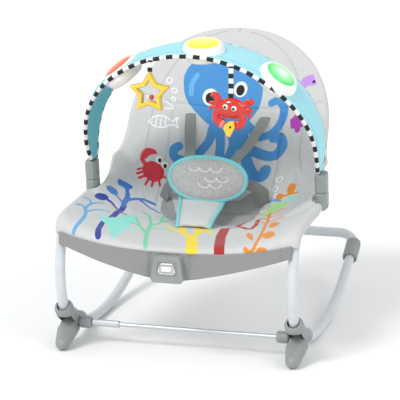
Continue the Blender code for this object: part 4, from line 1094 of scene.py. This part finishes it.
finishPiece(crotchStrap, "base", "grey_cloth", "crotch_strap")
for label, line in (("left", leftEdge), ("right", rightEdge)):
    finishPiece(tubeMesh(f"{label}StrapBinding", np.array(line) + pivotShift,
                         (strapSizes["binding"], 0.0034), tealBinding, 12),
                "base", "teal_cloth")

# harness
harnessSizes = {"half": 0.0102, "thick": 0.0010}
shoulderRuns = {"left": [(-0.0723, 0.3530, 0.3790), (-0.0715, 0.3475, 0.3745), (-0.0655, 0.3200, 0.3420),
                         (-0.0560, 0.2900, 0.3200), (-0.0450, 0.2420, 0.3180), (-0.0360, 0.2120, 0.3060)],
                "right": [(0.0745, 0.3530, 0.3790), (0.0740, 0.3470, 0.3745), (0.0620, 0.3150, 0.3460),
                          (0.0560, 0.2800, 0.3310), (0.0500, 0.2400, 0.3230), (0.0400, 0.2120, 0.3080)]}
waistRuns = {"left": [(-0.0600, 0.2160, 0.2740), (-0.0760, 0.2280, 0.2660), (-0.0890, 0.2420, 0.2520),
                      (-0.0960, 0.2470, 0.2370), (-0.0985, 0.2500, 0.2290)],
             "right": [(0.0600, 0.2160, 0.2760), (0.0760, 0.2240, 0.2740), (0.0920, 0.2330, 0.2640),
                       (0.1000, 0.2430, 0.2470), (0.0990, 0.2500, 0.2290)]}
for side in ("left", "right"):
    shoulder = tubeMesh(f"{side}ShoulderStrap", smoothLine(np.array(shoulderRuns[side]) + pivotShift, 60),
                        (harnessSizes["half"], harnessSizes["thick"]), webbing, 24)
    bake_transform(shoulder, "base", "backrest", (0, -0.030, 0.310), (0, 0.090, 0.370))
    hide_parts(f"{side}_shoulder_strap")
    waistStrap = tubeMesh(f"{side}WaistStrap", smoothLine(np.array(waistRuns[side]) + pivotShift, 50),
                          (harnessSizes["thick"], harnessSizes["half"]), webbing, 24, (0, -1, 0))
    finishPiece(waistStrap, "base", "webbing", f"{side}_waist_strap")
finishPiece(stitchesAlong("guardStitches",
                          [np.array(rim) * (0.93, 1, 0.90) + np.array(guardSizes["middle"])
                           + pivotShift + np.array((0, -0.0068, 0))], 0.0042, 0.0026, 0.00035),
            "base", "webbing")
stitchLines = [np.array(leftEdge[:42]) + pivotShift + np.array((0.0040, 0, 0.0052)),
               np.array(rightEdge[:42]) + pivotShift + np.array((-0.0040, 0, 0.0052))]
finishPiece(stitchesAlong("strapStitches", stitchLines, 0.0042, 0.0026, 0.00035), "base", "webbing")
finishPiece(stitchesAlong("panelStitches", [skirt[-4, 10:-10] + pivotShift + np.array((0, -0.0013, 0)),
                                            skirt[2, 10:-10] + pivotShift + np.array((0, -0.0013, 0))],
                          0.0045, 0.0028, 0.00035), "base", "webbing")
seams = [cover[170:330, index] + pivotShift + np.array((0, -0.0006, 0.0004)) for index in (26,
        count - 27)]
seamStitches = stitchesAlong("coverStitches", seams, 0.0050, 0.0032, 0.0004)
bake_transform(seamStitches, "base", "backrest", (0, -0.035, 0.215), (0, 0.045, 0.290))
print("guard and harness done")

# toy bar: padded band, piping, light pods
bandSizes = {"half": 0.2225, "spring": 0.350, "top": 0.543, "thick": 0.0034, "piping": 0.0038,
             "rows": 260}
socketLean = math.atan(0.15)
plugTop = (np.array((0.2205, 0.1935, 0.278)) + 0.0395 * np.array((0, -math.sin(socketLean),
                                                                  math.cos(socketLean))))


def archPoint(part):
    if part < 0.06 or part > 0.94:
        near = min(part, 1 - part) / 0.06
        x = -plugTop[0] + (plugTop[0] - bandSizes["half"]) * near
        z = plugTop[2] + (bandSizes["spring"] - plugTop[2]) * near
        x = x if part < 0.5 else -x
    else:
        angle = math.pi * (part - 0.06) / 0.88
        x = -bandSizes["half"] * math.cos(angle)
        z = bandSizes["spring"] + (bandSizes["top"] - bandSizes["spring"]) * math.sin(angle)
    drop = -0.245 * (z - plugTop[2]) + 0.006 * min(1.0, (z - plugTop[2]) / 0.05)
    return np.array((x, plugTop[1] + drop, z))


def archNormal(part):
    along = archPoint(min(1.0, part + 0.01)) - archPoint(max(0.0, part - 0.01))
    normal = np.array((-along[2], 0, along[0]))
    return normal / np.linalg.norm(normal)


def bandHalf(part):
    share = min(1.0, min(part, 1 - part) / 0.30)
    return 0.0115 + 0.0625 * share ** 0.75


parts = np.linspace(0.0, 1.0, bandSizes["rows"])
acrossBand = np.linspace(-1, 1, 49)
middleLine = np.array([archPoint(p) for p in parts])
normals = np.array([archNormal(p) for p in parts])
halves = np.array([bandHalf(p) for p in parts])
crown = 0.010 * np.minimum(1.0, np.minimum(parts, 1 - parts) / 0.2)
surface = (middleLine[:, None] + np.einsum("r,c,k->rck", halves, acrossBand, np.array((0, 1, 0)))
           + normals[:, None] * (np.outer(crown, 1 - acrossBand ** 2) - 0.004)[..., None])
bandRun = runLength(middleLine)
warp = np.stack([np.repeat(bandRun[:, None] * 46, 49, 1), np.repeat(acrossBand[None] * 1.6, len(parts),
                                                                    0),
                 np.zeros((len(parts), 49))], axis=-1)
ripple = (0.0018 * bumps(warp, (1, 1, 1), 2.0) + 0.0009 * bumps(surface, (70, 70, 70),
                                                                8.0)) * (1 - acrossBand ** 4)[None]
outerBand = surface + normals[:, None] * (bandSizes["thick"] + ripple)[..., None]
innerBand = surface - normals[:, None] * (bandSizes["thick"] - 0.6 * ripple)[..., None]
toyBarCloth = gridMesh("toyBarCloth", outerBand + pivotShift, tealCloth)
toyBarLining = gridMesh("toyBarLining", innerBand[:, ::-1] + pivotShift, tealLining)
finishPiece(toyBarCloth, "toy_bar", "teal_cloth", "toy_bar_band")
finishPiece(toyBarLining, "toy_bar", "teal_cloth")
for label, column in (("front", 0), ("rear", -1)):
    edgeLine = surface[:, column] + np.array((0, -0.001 if column == 0 else 0.001, 0))
    wander = 0.0009 * bumps(edgeLine, (30, 30, 30), 3.0)
    edgeLine = edgeLine + normals * wander[:, None]
    finishPiece(tubeMesh(f"{label}Piping", smoothLine(edgeLine, 420) + pivotShift, bandSizes["piping"],
                         piping, 16),
                "toy_bar", "stripe_cloth")
edges = [outerBand[:, 4] + pivotShift + np.array((0, 0, 0.0003)),
         outerBand[:, -5] + pivotShift + np.array((0, 0, 0.0003))]
finishPiece(stitchesAlong("toyBarStitches", edges, 0.0050, 0.0032, 0.0004), "toy_bar", "webbing")
print("toy bar band done")

podSizes = {"radius": 0.0385, "lens": 0.0285, "half": 0.0150, "forward": 0.036, "tip": 0.20}


def podProfile(points, count):
    return smoothLine(np.array(points), count)


for key, part, shift, colour, bright, strength in (
        ("red", 0.300, 0.012, (0.62, 0.10, 0.02), (0.90, 0.26, 0.07), 0.25),
        ("yellow", 0.500, 0.020, (0.80, 0.66, 0.015), (0.98, 0.90, 0.16), 0.42),
        ("green", 0.704, 0.004, (0.06, 0.50, 0.11), (0.50, 0.98, 0.56), 0.55)):
    out = archNormal(part) + np.array((0, -podSizes["tip"], 0))
    out /= np.linalg.norm(out)
    middle = archPoint(part) + np.array((shift, -podSizes["forward"], 0)) + out * 0.001 + pivotShift
    body = podProfile([(0.0275, 0.0120), (0.0285, 0.0148), (0.0310, 0.0153), (0.0345, 0.0125),
                       (0.0375, 0.0070),
                       (0.0392, 0.0005), (0.0385, -0.0035), (0.0365, -0.0070), (0.0345,
                               -0.0115), (0.0310, -0.0148),
                       (0.0285, -0.0148), (0.0275, -0.0120), (0.0275, 0.0), (0.0275, 0.0120)], 90)
    housingMaterial = plastic(f"{key} pod housing", (0.86, 0.86, 0.85), 0.22, 0.02, 0.4)
    # the white housing turns toward the lens's bright colour near its inner rim: painted glow from the lens
    lensGlowShare = addNode(housingMaterial, "ShaderNodeAttribute", attribute_name="middle").outputs["Fac"]
    paintedGlowMask = rampOf(housingMaterial, lensGlowShare, 0.93, 0.70)
    paintedGlowTint = mixColour(housingMaterial, paintedGlowMask, baseSocket(housingMaterial).links[0].from_socket,
                       tuple(0.45 + 0.55 * c for c in bright))
    wire(housingMaterial, paintedGlowTint, baseSocket(housingMaterial))
    housing = spun(f"{key}PodHousing", body, middle, out, housingMaterial, 72)
    finishPiece(housing, "toy_bar", "white_plastic", f"{key}_pod_housing")
    lensMaterial = glowing(f"{key} lens", colour, bright, strength)
    lensLine = podProfile([(0.0004, -0.0185), (0.010, -0.0182), (0.020, -0.0165), (0.0275, -0.0125),
                           (0.0278, 0.0),
                           (0.0275, 0.0125), (0.0250, 0.0162), (0.016, 0.0190), (0.006, 0.0200),
                           (0.0004, 0.0201)], 70)
    lens = spun(f"{key}PodLens", lensLine, middle, out, lensMaterial, 64)
    slotName = {"red": "orange_plastic", "yellow": "yellow_plastic", "green": "green_plastic"}[key]
    finishPiece(lens, "toy_bar", slotName, f"{key}_pod_lens")
print("pods done")


# hanging toys
lowStar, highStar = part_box("star_ribbon")
lowCrab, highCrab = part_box("crab_ribbon")
ribbonSizes = {"half": 0.0046, "thick": 0.0009}
for label, low, high, bodyName in (("star", lowStar, highStar, "star_toy"),
                                   ("crab", lowCrab, highCrab, "crab_toy")):
    x, y = (low.x + high.x) / 2, (low.y + high.y) / 2
    path = smoothLine(np.array([(x, y + 0.003, high.z + 0.001), (x, y, high.z - 0.003),
                                (x, y, (low.z + high.z) / 2),
                                (x, y, low.z - 0.002)]), 40)
    finishPiece(tubeMesh(f"{label}Ribbon", path, (ribbonSizes["half"], ribbonSizes["thick"]),
                         ribbonCloth, 16), bodyName,
                "stripe_cloth", f"{label}_ribbon")
star = softCopy("star_frame", 0.0007, 12, yellowPlastic)
lowFrame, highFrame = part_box("star_frame")
starMiddle = np.array((lowFrame + highFrame)) / 2
points = np.array([v.co for v in star.data.vertices])
points[:, 1] = starMiddle[1] + (points[:, 1] - starMiddle[1]) * 1.45
star.data.vertices.foreach_set("co", points.ravel())
finishPiece(star, "star_toy", "yellow_plastic", "star_frame")
for label, colour in (("white", whitePlastic), ("red", redPlastic)):
    finishPiece(softCopy(f"star_{label}_bead", 0.0003, 4, colour), "star_beads", f"{label}_plastic",
                f"star_{label}_bead")

crabX, crabY, crabZ = (lowCrab.x + highCrab.x) / 2, (lowCrab.y + highCrab.y) / 2, lowCrab.z - 0.0188


def crabAt(x, z, y=0.0):
    lean = math.radians(-9)
    return (crabX + (x * math.cos(lean) - z * math.sin(lean)) / 1000, crabY + y / 1000,
            crabZ + (x * math.sin(lean) + z * math.cos(lean)) / 1000)


crabBlobs = [("ball", crabAt(0, 0), (0.0280, 0.0125, 0.0180)),
             ("ball", crabAt(0, 5), (0.0240, 0.0120, 0.0150))]
for sign in (-1, 1):
    crabBlobs += [("bar", [crabAt(sign * 20, 6), crabAt(sign * 28, 12), crabAt(sign * 34, 17)], 0.0042),
                  ("ball", crabAt(sign * 35, 19), (0.0062, 0.0060, 0.0052)),
                  ("bar", [crabAt(sign * 22, 14), crabAt(sign * 27, 20), crabAt(sign * 33, 22)], 0.0030),
                  ("bar", [crabAt(sign * 24, 2), crabAt(sign * 33, 5), crabAt(sign * 39, 3)], 0.0034),
                  ("bar", [crabAt(sign * 24, -4), crabAt(sign * 33, -3), crabAt(sign * 38, -7)], 0.0032),
                  ("bar", [crabAt(sign * 18, -8), crabAt(sign * 25, -14), crabAt(sign * 24, -24),
                           crabAt(sign * 17, -30)], 0.0062),
                  ("bar", [crabAt(sign * 19, -22), crabAt(sign * 11, -24), crabAt(sign * 9, -29)], 0.0044)]
crab = lumps("crabToy", crabBlobs, 0.0008, 6, redPlastic)
finishPiece(crab, "crab_toy", "red_plastic", "crab_body")
for sign, label in ((-1, "left"), (1, "right")):
    eye = spun(f"{label}CrabEye", [(0.0002, 0.0022), (0.003, 0.0018), (0.0046, 0.0006),
                                   (0.0050, -0.0006), (0.0002, -0.0010)],
               crabAt(sign * 8, 4, -12.2), (0, -1, 0), whitePlastic, 24)
    finishPiece(eye, "crab_toy", "white_plastic")
    pupil = spun(f"{label}CrabPupil", [(0.0002, 0.0012), (0.0016, 0.0010), (0.0026, 0.0002),
                                       (0.0027, -0.0006), (0.0002, -0.0008)],
                 crabAt(sign * 8 - 0.4, 3.6, -14.6), (0, -1, 0), blackPlastic, 20)
    finishPiece(pupil, "crab_toy", "white_plastic")
corners = [(10, -19), (14, -30), (8, -50), (2, -48), (-7, -36), (-5, -29), (2, -22)]
outline = [crabAt(x, z, -9.5) for x, z in corners] + [crabAt(x, z, -2.5) for x, z in corners]
faces = [tuple(range(7)), tuple(range(13, 6, -1))] + [(k, k + 7, (k + 1) % 7 + 7,
                                                       (k + 1) % 7) for k in range(7)]
mesh = bpy.data.meshes.new("fishCharm")
mesh.from_pydata(outline, [], faces)
tidy = bmesh.new()
tidy.from_mesh(mesh)
bmesh.ops.recalc_face_normals(tidy, faces=tidy.faces)
tidy.to_mesh(mesh)
tidy.free()
mesh.materials.append(yellowPlastic)
tile = bpy.data.objects.new("fishCharm", mesh)
collection.objects.link(tile)
moulded(tile, 0.0007, 12, yellowPlastic)
finishPiece(tile, "crab_toy", "yellow_plastic", "fish_charm")
dot = spun("charmDot", [(0.0002, 0.0008), (0.0018, 0.0006), (0.0026, -0.0004), (0.0002, -0.0006)],
           crabAt(6, -31, -9.6), (0, -1, 0), blackPlastic, 20)
finishPiece(dot, "crab_toy", "yellow_plastic")
pink = lumps("pinkTag", [("bar", [crabAt(-9, -26, -3), crabAt(-12, -34, -4)], 0.0042)], 0.0008, 3,
             pinkPlastic)
finishPiece(pink, "crab_toy", "red_plastic")
print("toys done")

# CAD pieces shown as they are
shown = {"kickstand_rod": steel, "rod_sleeve": steel, "battery": steel, "vibration_motor": steel,
         "eccentric_weight": steel, "bead_wire": steel, "front_bow_tube": greyPlastic,
         "harness_buckle": greyPlastic, "vibration_housing": greyPlastic,
         "battery_door": greyPlastic, "backrest_tube": whitePaint}
for node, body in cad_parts.items():
    body.data.materials.clear()
    body.data.materials.append(shown.get(node, greyPlastic))

# camera, light and floor
viewSizes = {"azimuth": math.radians(15.19), "elevation": math.radians(13.23), "lens": 198.0,
        "place": (1.0355, -3.9088, 1.186)}
back = Vector((math.sin(viewSizes["azimuth"]) * math.cos(viewSizes["elevation"]),
               -math.cos(viewSizes["azimuth"]) * math.cos(viewSizes["elevation"]),
               math.sin(viewSizes["elevation"])))
right = Vector((math.cos(viewSizes["azimuth"]), math.sin(viewSizes["azimuth"]), 0))
upward = back.cross(right)
cameraData = bpy.data.cameras.new("camera")
cameraData.lens = viewSizes["lens"]
cameraData.sensor_width = 36.0
camera = bpy.data.objects.new("camera", cameraData)
camera.matrix_world = Matrix.Translation(viewSizes["place"]) @ Matrix((right, upward,
        back)).transposed().to_4x4()
collection.objects.link(camera)
bpy.context.scene.camera = camera

world = bpy.data.worlds.new("studio")
world.use_nodes = True
world.node_tree.nodes["Background"].inputs[0].default_value = (0.98, 0.99, 1.0, 1)
world.node_tree.nodes["Background"].inputs[1].default_value = 0.78
bpy.context.scene.world = world
bpy.context.scene.view_settings.view_transform = "Standard"
lampSizes = {"key": ((-1.3, -2.2, 2.6), 1.5, 0.35), "fill": ((2.6, -1.4, 2.2), 0.55, 0.6)}
for name, (place, strength, softness) in lampSizes.items():
    lamp = bpy.data.lights.new(name, "SUN")
    lamp.energy = strength
    lamp.angle = softness
    light = bpy.data.objects.new(name, lamp)
    light.rotation_euler = (-Vector(place)).to_track_quat("-Z", "Y").to_euler()
    collection.objects.link(light)
floorMaterial = newMaterial("pale floor", (0.93, 0.93, 0.93), 0.7)
floor = meshFrom("floor", [(-30, -30, 0), (30, -30, 0), (30, 30, 0), (-30, 30, 0)], [(0, 1, 2, 3)],
                 floorMaterial)
print("stage done")
